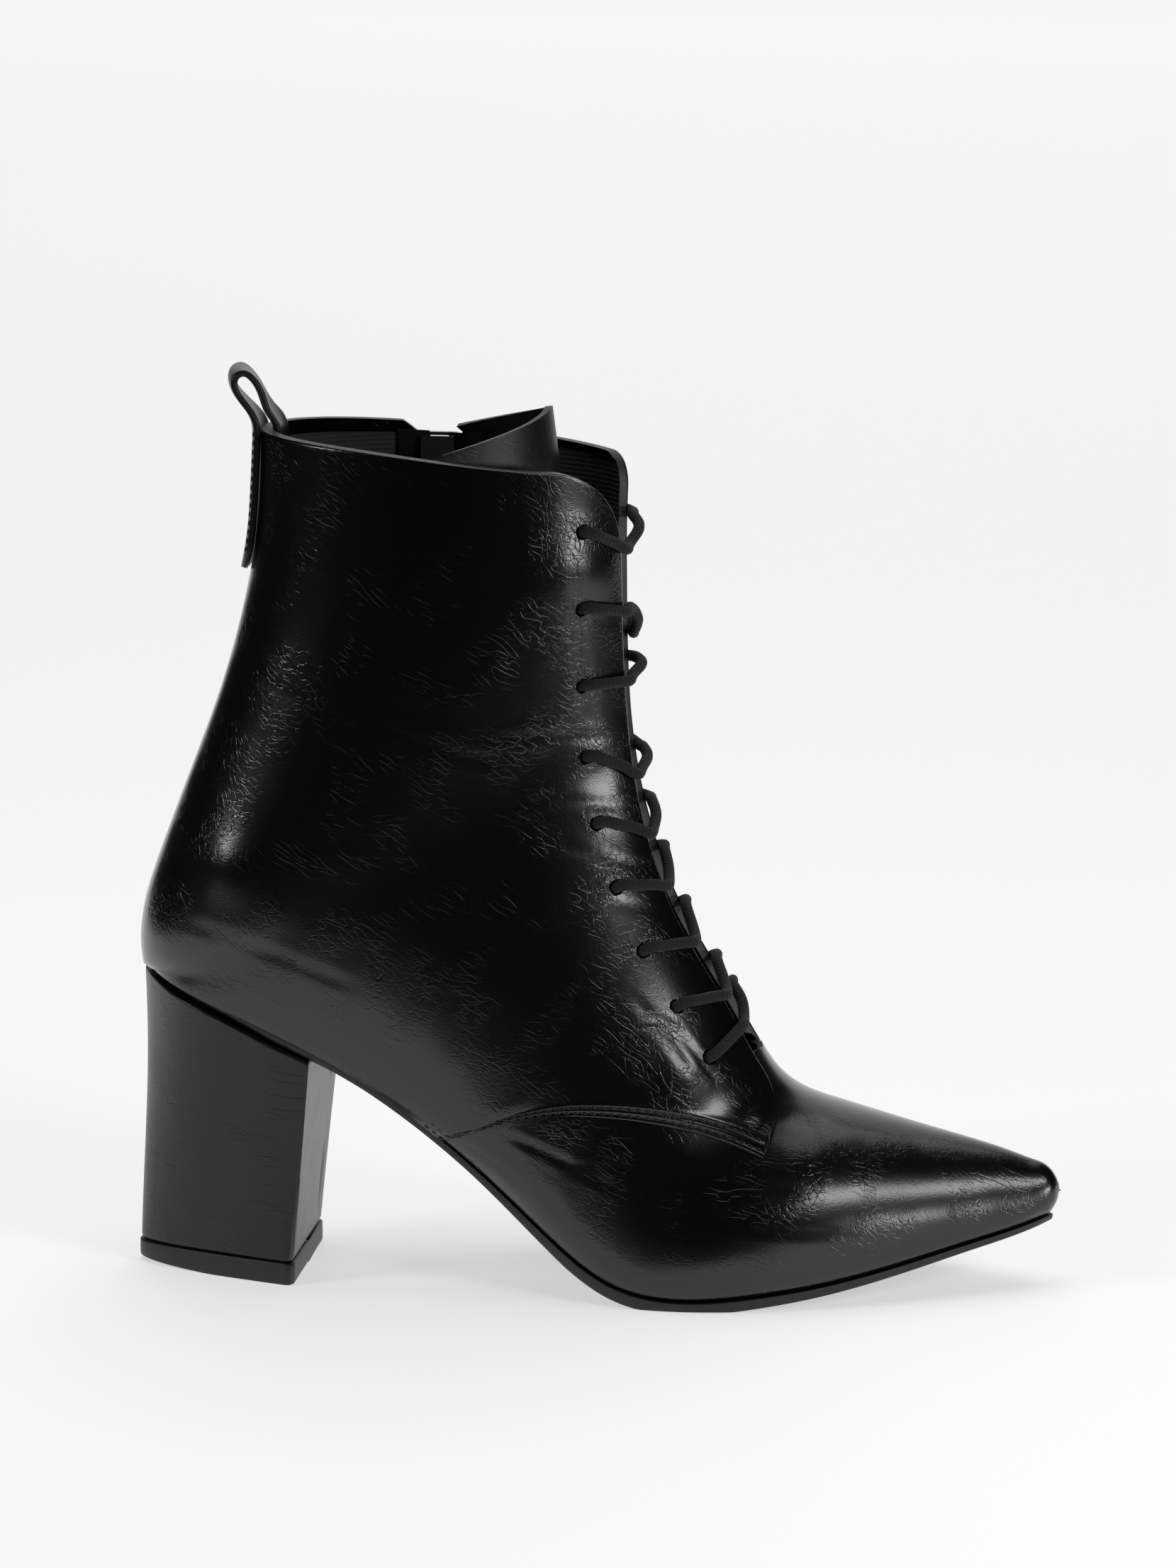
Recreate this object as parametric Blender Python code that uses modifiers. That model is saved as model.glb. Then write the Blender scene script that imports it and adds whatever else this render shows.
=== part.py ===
"""Heeled lace-up ankle boot for the right foot, built as a set of separate pieces.

The toe points along +X, the outer side of the foot is -Y, the floor is Z = 0.
Sizes and tables are in millimetres and are turned into metres when a mesh is made.
"""
from collections import namedtuple
from math import acos, pi

import bmesh
import bpy
import numpy as np
from mathutils import Matrix, Vector

for old in list(bpy.data.objects):
    bpy.data.objects.remove(old, do_unlink=True)

MM = 0.001
OUTER = -1  # the outer (lateral) side of the foot
INNER = 1  # the inner (medial) side of the foot
RIB_STEPS = 400  # points worked out for each half of a rib

# Upper
WALL = 1.6  # lining and leather together
QUARTER_STEP = 1.0  # the quarters stand this far out from the vamp
GAP_HALF = {OUTER: 9.0, INNER: 11.0}  # from the front line to each facing
COLLAR_ROUND = {OUTER: 23.0, INNER: 8.0}  # rounded top corner of each facing
SEAM_TOP = (-4.0, 49.4)  # highest point of the seam between quarter and vamp
SEAM_FALL = (0.0084, 0.0046)  # how fast it falls to the back and to the front

# Lace
HOLE_RADIUS = 2.1
HOLE_SIDES = 10  # corners of a punched hole
HOLE_INSET = 14.0  # from the facing edge to the hole
HOLE_HEIGHTS = (198.5, 178.6, 158.5, 140.0, 122.7, 106.2, 89.9, 75.5, 62.4)  # over the floor
LACE_RADIUS = 1.5
LACE_CLEAR = 0.4  # room between lace and leather
LACE_FALL = 5.0  # a crossing lies this far below its holes in the middle
LACE_DIP = (0.0, 0.0, 0.0, 0.0, 2.2, 4.0)  # how far it sinks in between the facings, hole to middle

# Sole
GLUE_GAP = 0.3  # between pieces that lie on each other
INSOLE_THICK = 2.6
INSOLE_INSET = 3.4
INSOLE_BEVEL = 0.3
SOLE_BEVEL = 0.7  # the underside of the outsole is smaller by this much all round

# Heel
TIP_HEIGHT = 5.7
TIP_BACK = -119.9
TIP_FRONT = -76.9
TIP_HALF_WIDTH = 24.4
TIP_TAPER = 0.17  # the plan narrows towards the back by this share
TIP_LIP = 0.4  # the tip stands this far out from the heel block
TIP_EDGE = 0.5  # bevel of the tip's edges
TIP_LIFT = 1.2  # the underside is worn away by this much at the back
TIP_FLAT = -99.0  # the tip is flat on the floor in front of this place
HEEL_LEDGE = 0.9  # the top of the heel block stands this far out from the feather edge
HEEL_BREAST = -71.6  # front of the heel block under the seat
BREAST_SKEW = 0.8  # its inner front corner stands this far in front of the outer one
HEEL_HOLLOW = 0.9  # the back line of the heel is hollowed by this much
HEEL_WAIST = 0.04  # and its sides are drawn in by this share half-way up
BACK_SPACING = 1.8  # the points of the plan lie closer together round the back

# Pull loop
LOOP_WIDTH = 16.0
LOOP_NARROW = 0.2  # the loop is narrower than the strap on the shaft by this share
LOOP_TWIST = 0.3  # the far edge of the loop leans back
LOOP_THICK = 1.7
LOOP_ROUND = (47.0, 31.0)  # half-length and half-width of the shaft it is bent round

# Tongue
TONGUE_THICK = 1.8
TONGUE_SHARE = 0.93  # its width as a share of the shaft's
TONGUE_RISE = 13.0  # top edge over the collar, in the middle
TONGUE_DROP = 12.0  # how much lower the top edge is at its corners
TONGUE_CURVE = 1.2  # power of the top edge's curve
TONGUE_LEAN = 1.6  # the top leans back by this much

# Zip
ZIP_X = -45.0
ZIP_SLOT = 5.0
ZIP_TAPE = 22.0
CHAIN = 4.2
TAPE_THICK = 0.9
ZIP_TOP = 0.68  # stations of the chain's two ends
ZIP_END = 11.8
ZIP_MOUTH = 7.0  # the slot is wider by this much on each side at the collar
ZIP_MOUTH_END = 0.45  # station where the slot has its own width
SLIDER_STATION = 0.46
SLIDER_HALF = (4.3, 5.0)  # half-width and half-length of its two plates
SLIDER_OUTER = (1.5, 3.2)  # from the surface of the wall to the faces of the outer plate
SLIDER_INNER = (-4.9, -3.4)
NECK_HALF = (1.8, 3.0)
TAB_LENGTH = 24.0
TAB_WIDTH = 6.2
TAB_THICK = 1.3
TAB_CORNER = 2.0
TAB_SLOT = (1.7, 4.2)  # half-width and end of the slot under the hinge bar
AXLE_OUT = 4.3  # hinge line of the pull tab, from the surface of the wall
BRIDGE_RADIUS = 2.6
BRIDGE_WIRE = 0.6
BRIDGE_FOOT = 1.6
CUT_DEPTH = 5.0  # punches and the slot's cutter reach this far to both sides of the wall

# A section is a flat cut through the foot. It runs from a point on the front line (front_x, front_z),
# over both sides, to the back seam or to the feather edge (end_x, end_z) where the upper meets the
# sole. Half-widths are taken from the line y = swing: at the end, and at the widest place, which lies
# at the fraction wide_at of the way. The fullness is the power of the curve below the widest place.
Section = namedtuple(
    "Section",
    "name front_x front_z end_x end_z end_outer end_inner wide_outer wide_inner wide_at fullness swing",
)
SECTIONS = [
    Section("collar", 9.0, 212.6, -85.8, 220.6, 0.0, 0.0, 30.8, 30.8, 0.50, 2.0, 0.0),
    Section("shaft_top", 8.5, 203.0, -86.8, 197.5, 0.0, 0.0, 31.0, 31.0, 0.50, 2.0, 0.0),
    Section("shaft_mid", 8.3, 192.4, -90.6, 174.5, 0.0, 0.0, 31.2, 31.2, 0.50, 2.0, 0.0),
    Section("ankle_top", 8.5, 181.6, -96.9, 152.0, 0.0, 0.0, 31.5, 31.5, 0.50, 2.05, 0.0),
    Section("ankle", 8.9, 171.4, -104.8, 130.5, 0.0, 0.0, 31.8, 31.8, 0.51, 2.1, 0.0),
    Section("heel_upper", 9.5, 162.4, -112.1, 111.0, 0.0, 0.0, 32.05, 32.05, 0.53, 2.2, 0.0),
    Section("heel_wide", 10.1, 154.8, -116.5, 97.5, 0.0, 0.0, 32.2, 32.2, 0.55, 2.3, 0.0),
    Section("heel_low", 10.7, 148.4, -117.9, 87.5, 0.0, 0.0, 32.35, 32.35, 0.57, 2.4, 0.0),
    Section("heel_corner", 11.4, 142.4, -117.4, 80.0, 0.0, 0.0, 32.45, 32.45, 0.58, 2.4, 0.0),
    Section("seat_round", 12.2, 136.0, -114.0, 79.9, 9.6, 9.6, 32.55, 32.5, 0.59, 2.4, 0.0),
    Section("seat_back", 13.3, 128.8, -105.5, 77.4, 20.8, 20.8, 32.65, 32.5, 0.60, 2.4, 0.0),
    Section("seat_mid", 15.0, 120.2, -92.5, 72.8, 26.4, 26.2, 32.8, 32.6, 0.61, 2.35, 0.0),
    Section("seat_front", 17.7, 110.0, -76.0, 65.4, 27.3, 27.0, 32.95, 32.6, 0.64, 2.3, 0.0),
    Section("waist_back", 22.2, 98.0, -58.5, 55.6, 26.3, 25.5, 33.2, 32.7, 0.69, 2.2, 0.0),
    Section("waist", 29.1, 85.4, -41.0, 43.4, 26.0, 25.0, 33.6, 32.8, 0.76, 2.15, 0.0),
    Section("waist_front", 36.2, 73.1, -24.5, 29.8, 27.3, 26.3, 34.6, 33.6, 0.81, 2.1, 0.0),
    Section("ball_back", 42.0, 61.9, -8.5, 16.0, 31.2, 30.0, 36.3, 35.1, 0.85, 2.0, 0.0),
    Section("tread_back", 47.0, 54.6, 7.0, 6.0, 35.8, 34.6, 38.4, 37.2, 0.87, 2.0, 0.0),
    Section("ball", 53.6, 49.8, 25.0, 2.8, 38.3, 37.2, 40.0, 38.9, 0.89, 2.0, 0.1),
    Section("tread_front", 62.2, 46.8, 44.0, 4.0, 36.2, 35.8, 37.8, 37.4, 0.90, 2.0, 0.4),
    Section("vamp", 72.4, 43.9, 62.0, 6.2, 30.2, 30.2, 31.8, 31.8, 0.90, 2.0, 0.9),
    Section("toe_box", 83.6, 40.9, 79.5, 9.6, 22.2, 22.2, 23.7, 23.7, 0.89, 2.0, 1.4),
    Section("toe_mid", 94.6, 38.1, 94.5, 13.2, 14.8, 14.8, 16.3, 16.3, 0.87, 2.0, 1.8),
    Section("toe_front", 104.4, 35.3, 106.0, 15.9, 9.0, 9.0, 10.7, 10.7, 0.83, 2.0, 2.1),
    Section("toe_near", 111.0, 33.0, 113.0, 17.8, 4.8, 4.8, 7.2, 7.2, 0.75, 2.0, 2.2),
    Section("toe_corner", 114.8, 31.7, 116.8, 18.7, 0.0, 0.0, 5.2, 5.2, 0.62, 2.0, 2.2),
    Section("toe_nose", 117.4, 29.4, 118.4, 21.6, 0.0, 0.0, 3.4, 3.4, 0.55, 2.0, 2.2),
    Section("toe_tip", 118.9, 26.4, 119.0, 24.2, 0.0, 0.0, 1.0, 1.0, 0.50, 2.0, 2.2),
]
STATION = {row.name: k for k, row in enumerate(SECTIONS)}
LAST_STATION = len(SECTIONS) - 1
HEEL_CORNER = STATION["heel_corner"]
TOE_CORNER = STATION["toe_corner"]
THROAT = STATION["ball_back"] + 0.1  # the vamp is whole in front of this station
FACING_TURN = STATION["ball_back"] + 0.3  # the facings leave the throat here
FACING_CORNER = STATION["ball"] - 0.1  # and meet the seam here

# Thickness of the outsole along the foot: place over x, thickness.
SOLE_THICKNESS = [
    (-118.0, 0.9), (-108.0, 1.9), (-95.0, 2.2), (-82.0, 3.0), (-74.0, 2.7), (-66.0, 2.2), (-58.0, 2.1),
    (-30.0, 2.7), (-5.0, 3.9), (25.0, 3.4), (80.0, 2.4), (119.0, 1.7),
]

# Edge of the outsole: station, how far it lies inside the feather edge.
SOLE_INSET = [(8.0, 1.3), (11.0, 1.3), (12.5, 0.3), (16.0, -0.5), (18.0, -0.9), (25.0, -0.6)]

# The tongue: station, how far it lies behind the front line, half of its width along the surface.
TONGUE_SHAPE = [
    (0.0, 19.5, 42.0), (4.0, 13.5, 38.6), (7.0, 11.6, 36.0), (10.3, 9.5, 30.5), (13.0, 7.2, 26.0),
    (14.4, 5.5, 21.7), (16.0, 3.6, 17.3), (17.4, 2.1, 15.0),
]

# The pull loop's strap along its middle: up the back, round the loop, and down inside the collar.
# The last column says how much of the shaft's roundness the strap takes up.
LOOP_PATH = [
    (-91.4, 184.0, 1.0), (-90.3, 190.0, 1.0), (-89.4, 197.0, 1.0), (-88.8, 206.0, 1.0),
    (-88.4, 214.0, 1.0), (-88.2, 219.0, 1.0), (-88.7, 222.4, 0.8), (-90.4, 225.4, 0.5),
    (-92.8, 228.4, 0.35), (-94.4, 231.4, 0.3), (-94.0, 234.0, 0.3), (-92.0, 235.0, 0.3),
    (-89.9, 233.8, 0.3), (-88.0, 231.2, 0.35), (-86.6, 228.0, 0.5), (-85.2, 225.0, 0.8),
    (-83.0, 222.2, 1.0), (-81.6, 217.0, 1.0), (-81.7, 209.0, 1.0),
]


def natural_spline(knots, values):
    """Return the smooth curve through the values at the knots, straight at both ends."""
    knots = np.asarray(knots, float)
    values = np.asarray(values, float)
    step = np.diff(knots)
    slope = np.diff(values) / step
    size = len(knots)
    system = np.eye(size)
    right = np.zeros(size)
    for k in range(1, size - 1):
        system[k, k - 1:k + 2] = step[k - 1], 2 * (step[k - 1] + step[k]), step[k]
        right[k] = 6 * (slope[k] - slope[k - 1])
    bend = np.linalg.solve(system, right)

    def curve(at):
        at = np.asarray(at, float)
        k = np.clip(np.searchsorted(knots, at, side="right") - 1, 0, size - 2)
        left = at - knots[k]
        rest = knots[k + 1] - at
        cubic = (bend[k] * rest**3 + bend[k + 1] * left**3) / (6 * step[k])
        start = (values[k] / step[k] - bend[k] * step[k] / 6) * rest
        stop = (values[k + 1] / step[k] - bend[k + 1] * step[k] / 6) * left
        return cubic + start + stop

    return curve


def broken_spline(breaks, values):
    """Join one smooth curve for each stretch between the breaks, with a corner at each break."""
    stretches = [
        natural_spline(range(low, high + 1), values[low:high + 1])
        for low, high in zip(breaks, breaks[1:])
    ]

    def curve(at):
        which = int(np.clip(np.searchsorted(breaks, at, side="right") - 1, 0, len(stretches) - 1))
        return stretches[which](at)

    return curve


def section_curves():
    """One curve over the stations for each column of the table."""
    curves = {}
    for column in Section._fields[1:]:
        values = [getattr(row, column) for row in SECTIONS]
        if column.startswith("end_"):
            curves[column] = broken_spline([0, HEEL_CORNER, TOE_CORNER, LAST_STATION], values)
        else:
            curves[column] = natural_spline(range(len(values)), values)
    return curves


CURVES = section_curves()


def section_at(station):
    """The table's values at a place between two rows."""
    values = {column: float(curve(station)) for column, curve in CURVES.items()}
    return Section(name="between", **values)


def rib(station, side):
    """Points down one side of a section, and how far each lies from the front line.

    Above the widest place the side is a quarter of an ellipse, below it a part of a fuller one.
    """
    cut = section_at(station)
    wide, end = (cut.wide_outer, cut.end_outer) if side == OUTER else (cut.wide_inner, cut.end_inner)
    end = min(max(end, 0.0), 0.999 * wide)
    run = np.array([cut.end_x - cut.front_x, cut.end_z - cut.front_z])
    length = np.hypot(*run)
    power = 2 / cut.fullness
    upper_turn = np.linspace(0, pi / 2, RIB_STEPS)
    last_turn = acos((end / wide) ** (1 / power))
    lower_turn = np.linspace(0, 1, RIB_STEPS)[1:] ** 1.3 * last_turn
    reach = (1 - cut.wide_at) * length / np.sin(last_turn) ** power
    down = np.concatenate([
        cut.wide_at * length * (1 - np.cos(upper_turn)),
        cut.wide_at * length + reach * np.sin(lower_turn) ** power,
    ])
    half = wide * np.concatenate([np.sin(upper_turn), np.abs(np.cos(lower_turn)) ** power])
    if end == 0:
        half[-1] = 0.0
    points = np.empty((len(down), 3))
    points[:, 0] = cut.front_x + run[0] * down / length
    points[:, 1] = cut.swing + side * half
    points[:, 2] = cut.front_z + run[1] * down / length
    steps = np.linalg.norm(np.diff(points, axis=0), axis=1)
    return points, np.concatenate([[0.0], np.cumsum(steps)])


def on_rib(station, side, distances):
    """Points of a rib at the given distances from the front line."""
    points, far = rib(station, side)
    return np.stack([np.interp(distances, far, points[:, k]) for k in range(3)], axis=-1)


def gap_edge(station, side):
    """Distance from the front line to the edge of the open throat."""
    points, far = rib(station, side)
    half = np.abs(points[:RIB_STEPS, 1] - section_at(station).swing)
    return float(np.interp(GAP_HALF[side], half, far[:RIB_STEPS]))


def seam_edge(station, side):
    """Distance from the front line to the seam of the quarter, or to the rib's end where there is none."""
    points, far = rib(station, side)
    away = points[:, 0] - SEAM_TOP[0]
    seam_z = SEAM_TOP[1] - np.where(away < 0, SEAM_FALL[0], SEAM_FALL[1]) * away**2
    below = np.nonzero((points[:, 2] < seam_z) & (station > HEEL_CORNER))[0]
    return float(far[below[0]] if len(below) else far[-1])


def facing_edge(station, side):
    """Distance from the front line to the quarter's front edge, round its top and bottom corners."""
    edge = gap_edge(station, side)
    radius = COLLAR_ROUND[side]
    below_collar = SECTIONS[0].front_z - section_at(station).front_z
    if below_collar < radius:
        edge += radius - np.sqrt(radius**2 - (radius - max(below_collar, 0.0)) ** 2)
    turn = np.clip((station - FACING_TURN) / (FACING_CORNER - FACING_TURN), 0.0, 1.0)
    corner = seam_edge(FACING_CORNER, side)
    return edge + (corner - edge) * (1 - np.sqrt(1 - turn**2))


def outwards(station, side, distances):
    """Unit directions out of the boot's surface at distances along a rib."""
    distances = np.asarray(distances, float)
    along = on_rib(min(station + 0.6, LAST_STATION), side, distances)
    along = along - on_rib(max(station - 0.6, 0.0), side, distances)
    across = on_rib(station, side, distances + 0.4) - on_rib(station, side, distances - 0.4)
    out = np.cross(across, along) * -side
    return out / np.linalg.norm(out, axis=-1, keepdims=True)


def wall_point(station, side, distance, height):
    """A point at a height over the boot's surface."""
    return (on_rib(station, side, [distance]) + height * outwards(station, side, [distance]))[0]


def new_collection(name):
    made = bpy.data.collections.new(name)
    bpy.context.scene.collection.children.link(made)
    return made


PARTS = new_collection("heeled_boot")
CUTTERS = new_collection("cutters")


def material(name, color, roughness, metallic=0.0):
    made = bpy.data.materials.new(name)
    made.use_nodes = True
    shader = made.node_tree.nodes["Principled BSDF"]
    shader.inputs["Base Color"].default_value = (*color, 1.0)
    shader.inputs["Roughness"].default_value = roughness
    shader.inputs["Metallic"].default_value = metallic
    return made


LEATHER = material("crinkled_leather", (0.012, 0.012, 0.013), 0.32)
TONGUE_LEATHER = material("tongue_leather", (0.015, 0.015, 0.016), 0.4)
BOARD = material("insole_board", (0.03, 0.03, 0.03), 0.8)
SOLE_RUBBER = material("outsole_rubber", (0.016, 0.016, 0.017), 0.5)
HEEL_COVER = material("heel_cover", (0.014, 0.014, 0.015), 0.4)
TIP_RUBBER = material("tip_rubber", (0.02, 0.02, 0.021), 0.55)
STRAP = material("loop_strap", (0.016, 0.016, 0.017), 0.45)
CORD = material("lace_cord", (0.03, 0.03, 0.034), 0.9)
ZIP_NYLON = material("zip_nylon", (0.015, 0.015, 0.016), 0.7)
STEEL = material("zip_steel", (0.6, 0.6, 0.6), 0.3, 1.0)


def add_object(name, data, coat, collection=PARTS):
    made = bpy.data.objects.new(name, data)
    collection.objects.link(made)
    if coat:
        data.materials.append(coat)
    if collection is CUTTERS:
        made.hide_render = True
        made.display_type = "WIRE"
    return made


def mesh_object(name, points, faces, coat, collection=PARTS, closed=True):
    """A mesh object from millimetre points; points that coincide are joined.

    The faces of a closed body are turned outwards, those of an open sheet are kept as they come.
    """
    data = bpy.data.meshes.new(name)
    data.from_pydata((np.asarray(points, float) * MM).tolist(), [], faces)
    work = bmesh.new()
    work.from_mesh(data)
    bmesh.ops.remove_doubles(work, verts=work.verts, dist=2e-6)
    bmesh.ops.dissolve_degenerate(work, edges=work.edges, dist=1e-6)
    if closed:
        bmesh.ops.recalc_face_normals(work, faces=work.faces)
    work.to_mesh(data)
    work.free()
    return add_object(name, data, coat, collection)


def grid_faces(rows, columns, first=0, closed=False):
    """Four-sided faces over a grid of points counted row by row; closed joins each row into a ring."""
    faces = []
    for i in range(rows - 1):
        for j in range(columns if closed else columns - 1):
            a = first + i * columns + j
            b = first + i * columns + (j + 1) % columns
            faces.append((a, b, b + columns, a + columns))
    return faces


def ring_solid(name, rings, coat, collection=PARTS):
    """A solid lofted through rings with the same number of points, with flat ends."""
    rings = np.asarray(rings, float)
    rows, columns = rings.shape[:2]
    faces = grid_faces(rows, columns, closed=True)
    faces.append(tuple(range(columns))[::-1])
    faces.append(tuple(range((rows - 1) * columns, rows * columns)))
    return mesh_object(name, rings.reshape(-1, 3), faces, coat, collection)


def strip_solid(name, rings, coat):
    """A solid lofted through mirrored rings; its ends are strips from side to side, so they may bend."""
    rings = np.asarray(rings, float)
    rows, columns = rings.shape[:2]
    faces = grid_faces(rows, columns, closed=True)
    for first in (0, (rows - 1) * columns):
        for k in range(columns // 2):
            strip = (first + k, first + k + 1, first + columns - k - 1, first + (columns - k) % columns)
            faces.append(tuple(dict.fromkeys(strip)))
    return mesh_object(name, rings.reshape(-1, 3), faces, coat)


def thicken(target, thickness, offset):
    made = target.modifiers.new("wall", "SOLIDIFY")
    made.thickness = thickness * MM
    made.offset = offset
    made.use_rim = True
    return made


def combine(target, other, operation):
    made = target.modifiers.new(operation.lower() + "_" + other.name, "BOOLEAN")
    made.operation = operation
    made.object = other
    made.solver = "EXACT"
    return made


def tube(name, path, radius, coat):
    """A round cord along a smooth path of millimetre points."""
    data = bpy.data.curves.new(name, "CURVE")
    data.dimensions = "3D"
    data.bevel_depth = radius * MM
    data.bevel_resolution = 1
    data.use_fill_caps = True
    line = data.splines.new("POLY")
    line.points.add(len(path) - 1)
    for point, place in zip(line.points, path):
        point.co = (*(Vector(place) * MM), 1.0)
    return add_object(name, data, coat)


def box(name, low, high, coat, collection=PARTS):
    """A block between two corners given in millimetres."""
    corners = np.array([[x, y, z] for x in (low[0], high[0]) for y in (low[1], high[1])
                        for z in (low[2], high[2])])
    faces = [(0, 1, 3, 2), (4, 6, 7, 5), (0, 4, 5, 1), (2, 3, 7, 6), (0, 2, 6, 4), (1, 5, 7, 3)]
    return mesh_object(name, corners, faces, coat, collection)


def seam_start():
    """The station where the seam of the quarter leaves the feather edge."""
    stations = np.linspace(HEEL_CORNER + 2, THROAT, 200)
    clear = [u for u in stations if seam_edge(u, OUTER) >= rib(u, OUTER)[1][-1] - 1e-6]
    return clear[-1]


SEAM_START = seam_start()
UPPER_STATIONS = np.concatenate([
    [0.0, 0.15, 0.35, 0.6, 0.9], np.arange(1.4, 7.5, 0.6), [HEEL_CORNER], np.arange(8.5, 13.6, 0.6),
    [SEAM_START, 14.6, 15.1, 15.6, THROAT, 16.5, 16.9, 17.25],
    FACING_CORNER - np.array([0.4, 0.22, 0.1, 0.03, 0.0]), np.arange(18.35, 24.4, 0.7),
    [24.55, TOE_CORNER, 25.5, 26.0, 26.5, LAST_STATION],
])
VAMP_TOP, QUARTER, VAMP_LOW = 5, 12, 6  # columns of the three stretches of a row
FACING_COLUMN = VAMP_TOP
SEAM_COLUMN = VAMP_TOP + QUARTER
ROW_COLUMNS = VAMP_TOP + QUARTER + VAMP_LOW


def upper_row(station, side):
    """One row of the upper: points from the ridge to the end of the rib, and their heights.

    The row runs over the vamp, up a step to the quarter, and down a step to the vamp again. A stretch
    that is not there at this station has all its points in one place.
    """
    end = rib(station, side)[1][-1]
    if station < FACING_CORNER:
        start, stop = facing_edge(station, side), seam_edge(station, side)
    else:
        corner = seam_edge(FACING_CORNER, side) / rib(FACING_CORNER, side)[1][-1]
        start = stop = corner * end
    if station <= SEAM_START:
        stop = end
    distances = np.concatenate([
        np.linspace(0.0, start, VAMP_TOP), np.linspace(start, stop, QUARTER),
        np.linspace(stop, end, VAMP_LOW),
    ])
    heights = np.zeros(ROW_COLUMNS)
    if station < FACING_CORNER:
        heights[FACING_COLUMN:SEAM_COLUMN] = QUARTER_STEP
    if station <= SEAM_START:
        heights[SEAM_COLUMN:] = QUARTER_STEP
    return on_rib(station, side, distances), heights, distances > end - 1e-6


def shared_normals(points, faces):
    """Unit normals of a sheet at its points, the same for all points in one place."""
    _, place = np.unique(np.round(points, 3) + 0.0, axis=0, return_inverse=True)
    place = place.reshape(-1)
    corners = points[faces]
    across = np.cross(corners[:, 2] - corners[:, 0], corners[:, 3] - corners[:, 1])
    total = np.zeros((place.max() + 1, 3))
    for k in range(4):
        np.add.at(total, place[faces[:, k]], across)
    return (total / np.maximum(np.linalg.norm(total, axis=1, keepdims=True), 1e-9))[place]


def joined(faces, place):
    """The faces with points in one place taken as one; faces with fewer than three left are dropped."""
    kept = [tuple(dict.fromkeys(int(place[k]) for k in face)) for face in faces]
    return [face for face in kept if len(face) > 2]


def open_edges(faces):
    """Edges that only one face has, in that face's direction."""
    edges = {edge for face in faces for edge in zip(face, face[1:] + face[:1])}
    return [(a, b) for a, b in edges if (b, a) not in edges]


def upper_sheet():
    """The points of both sides of the upper, their heights, which lie on the lower edge, and the faces."""
    rows = [upper_row(station, side) for side in (OUTER, INNER) for station in UPPER_STATIONS]
    points, heights, at_end = (np.concatenate(part) for part in zip(*rows))
    count = len(UPPER_STATIONS)
    faces = []
    for side in (OUTER, INNER):
        first = 0 if side == OUTER else count * ROW_COLUMNS
        for k, face in enumerate(grid_faces(count, ROW_COLUMNS, first)):
            row, column = divmod(k, ROW_COLUMNS - 1)
            if column < FACING_COLUMN and UPPER_STATIONS[row] < THROAT:
                continue  # the open throat
            faces.append(face if side == OUTER else face[::-1])
    return points, heights, at_end, faces


def make_upper():
    """Outer and inner sheet of the upper, joined along the collar, the throat and the feather edge."""
    points, heights, at_end, faces = upper_sheet()
    normals = shared_normals(points, np.array(faces))
    normals[at_end & (normals[:, 2] < 0), 2] = 0.0  # the lower edge stays level
    normals /= np.maximum(np.linalg.norm(normals, axis=1, keepdims=True), 1e-9)
    keys = np.column_stack([np.round(points, 3) + 0.0, heights])
    _, chosen, place = np.unique(keys, axis=0, return_index=True, return_inverse=True)
    place = place.reshape(-1)
    tip_row = (len(UPPER_STATIONS) - 1) * ROW_COLUMNS
    other_row = len(points) - ROW_COLUMNS
    nose = [*range(tip_row, tip_row + ROW_COLUMNS), *range(len(points) - 1, other_row, -1)]
    skin = joined(faces + [nose], place)
    outside = (points + normals * heights[:, None])[chosen]
    inside = (points - normals * WALL)[chosen]
    count = len(chosen)
    lining = [tuple(k + count for k in face[::-1]) for face in skin]
    rims = [(b, a, a + count, b + count) for a, b in open_edges(skin)]
    upper = mesh_object("upper", np.concatenate([outside, inside]), skin + lining + rims, LEATHER)
    combine(upper, make_hole_punches(), "DIFFERENCE")
    combine(upper, make_zip_slot(), "DIFFERENCE")
    return upper


def hole_place(height, side):
    """Station and distance of the lace hole at a height over the floor."""
    stations = np.linspace(0.2, FACING_TURN, 80)
    distances = np.array([gap_edge(station, side) + HOLE_INSET for station in stations])
    heights = [on_rib(u, side, [far])[0, 2] for u, far in zip(stations, distances)]
    station = float(np.interp(-height, -np.array(heights), stations))
    return station, gap_edge(station, side) + HOLE_INSET


def make_hole_punches():
    """One round punch for each lace hole, square to the wall."""
    turns = np.linspace(0, 2 * pi, HOLE_SIDES, endpoint=False)
    points = []
    faces = []
    for side in (OUTER, INNER):
        for height in HOLE_HEIGHTS:
            station, distance = hole_place(height, side)
            place = wall_point(station, side, distance, 0.0)
            out = outwards(station, side, distance)
            across = np.cross(out, [0.0, 0.0, 1.0])
            across /= np.linalg.norm(across)
            other = np.cross(out, across)
            circle = HOLE_RADIUS * (np.outer(np.cos(turns), across) + np.outer(np.sin(turns), other))
            first = len(points)
            ring = range(first, first + HOLE_SIDES)
            points += (place + circle - CUT_DEPTH * out).tolist()
            points += (place + circle + CUT_DEPTH * out).tolist()
            faces += grid_faces(2, HOLE_SIDES, first, closed=True)
            faces += [tuple(ring)[::-1], tuple(k + HOLE_SIDES for k in ring)]
    return mesh_object("lace_holes", points, faces, None, CUTTERS)


def zip_place(station):
    """Distance along the inner rib to the zip's line, x = ZIP_X."""
    points, far = rib(station, INNER)
    return float(np.interp(-ZIP_X, -points[:, 0], far))


def zip_ring(station, outline):
    """A ring of the zip at a station; the outline gives each point's place across it and its height."""
    middle = zip_place(station)
    return np.array([wall_point(station, INNER, middle + across, height) for across, height in outline])


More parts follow.
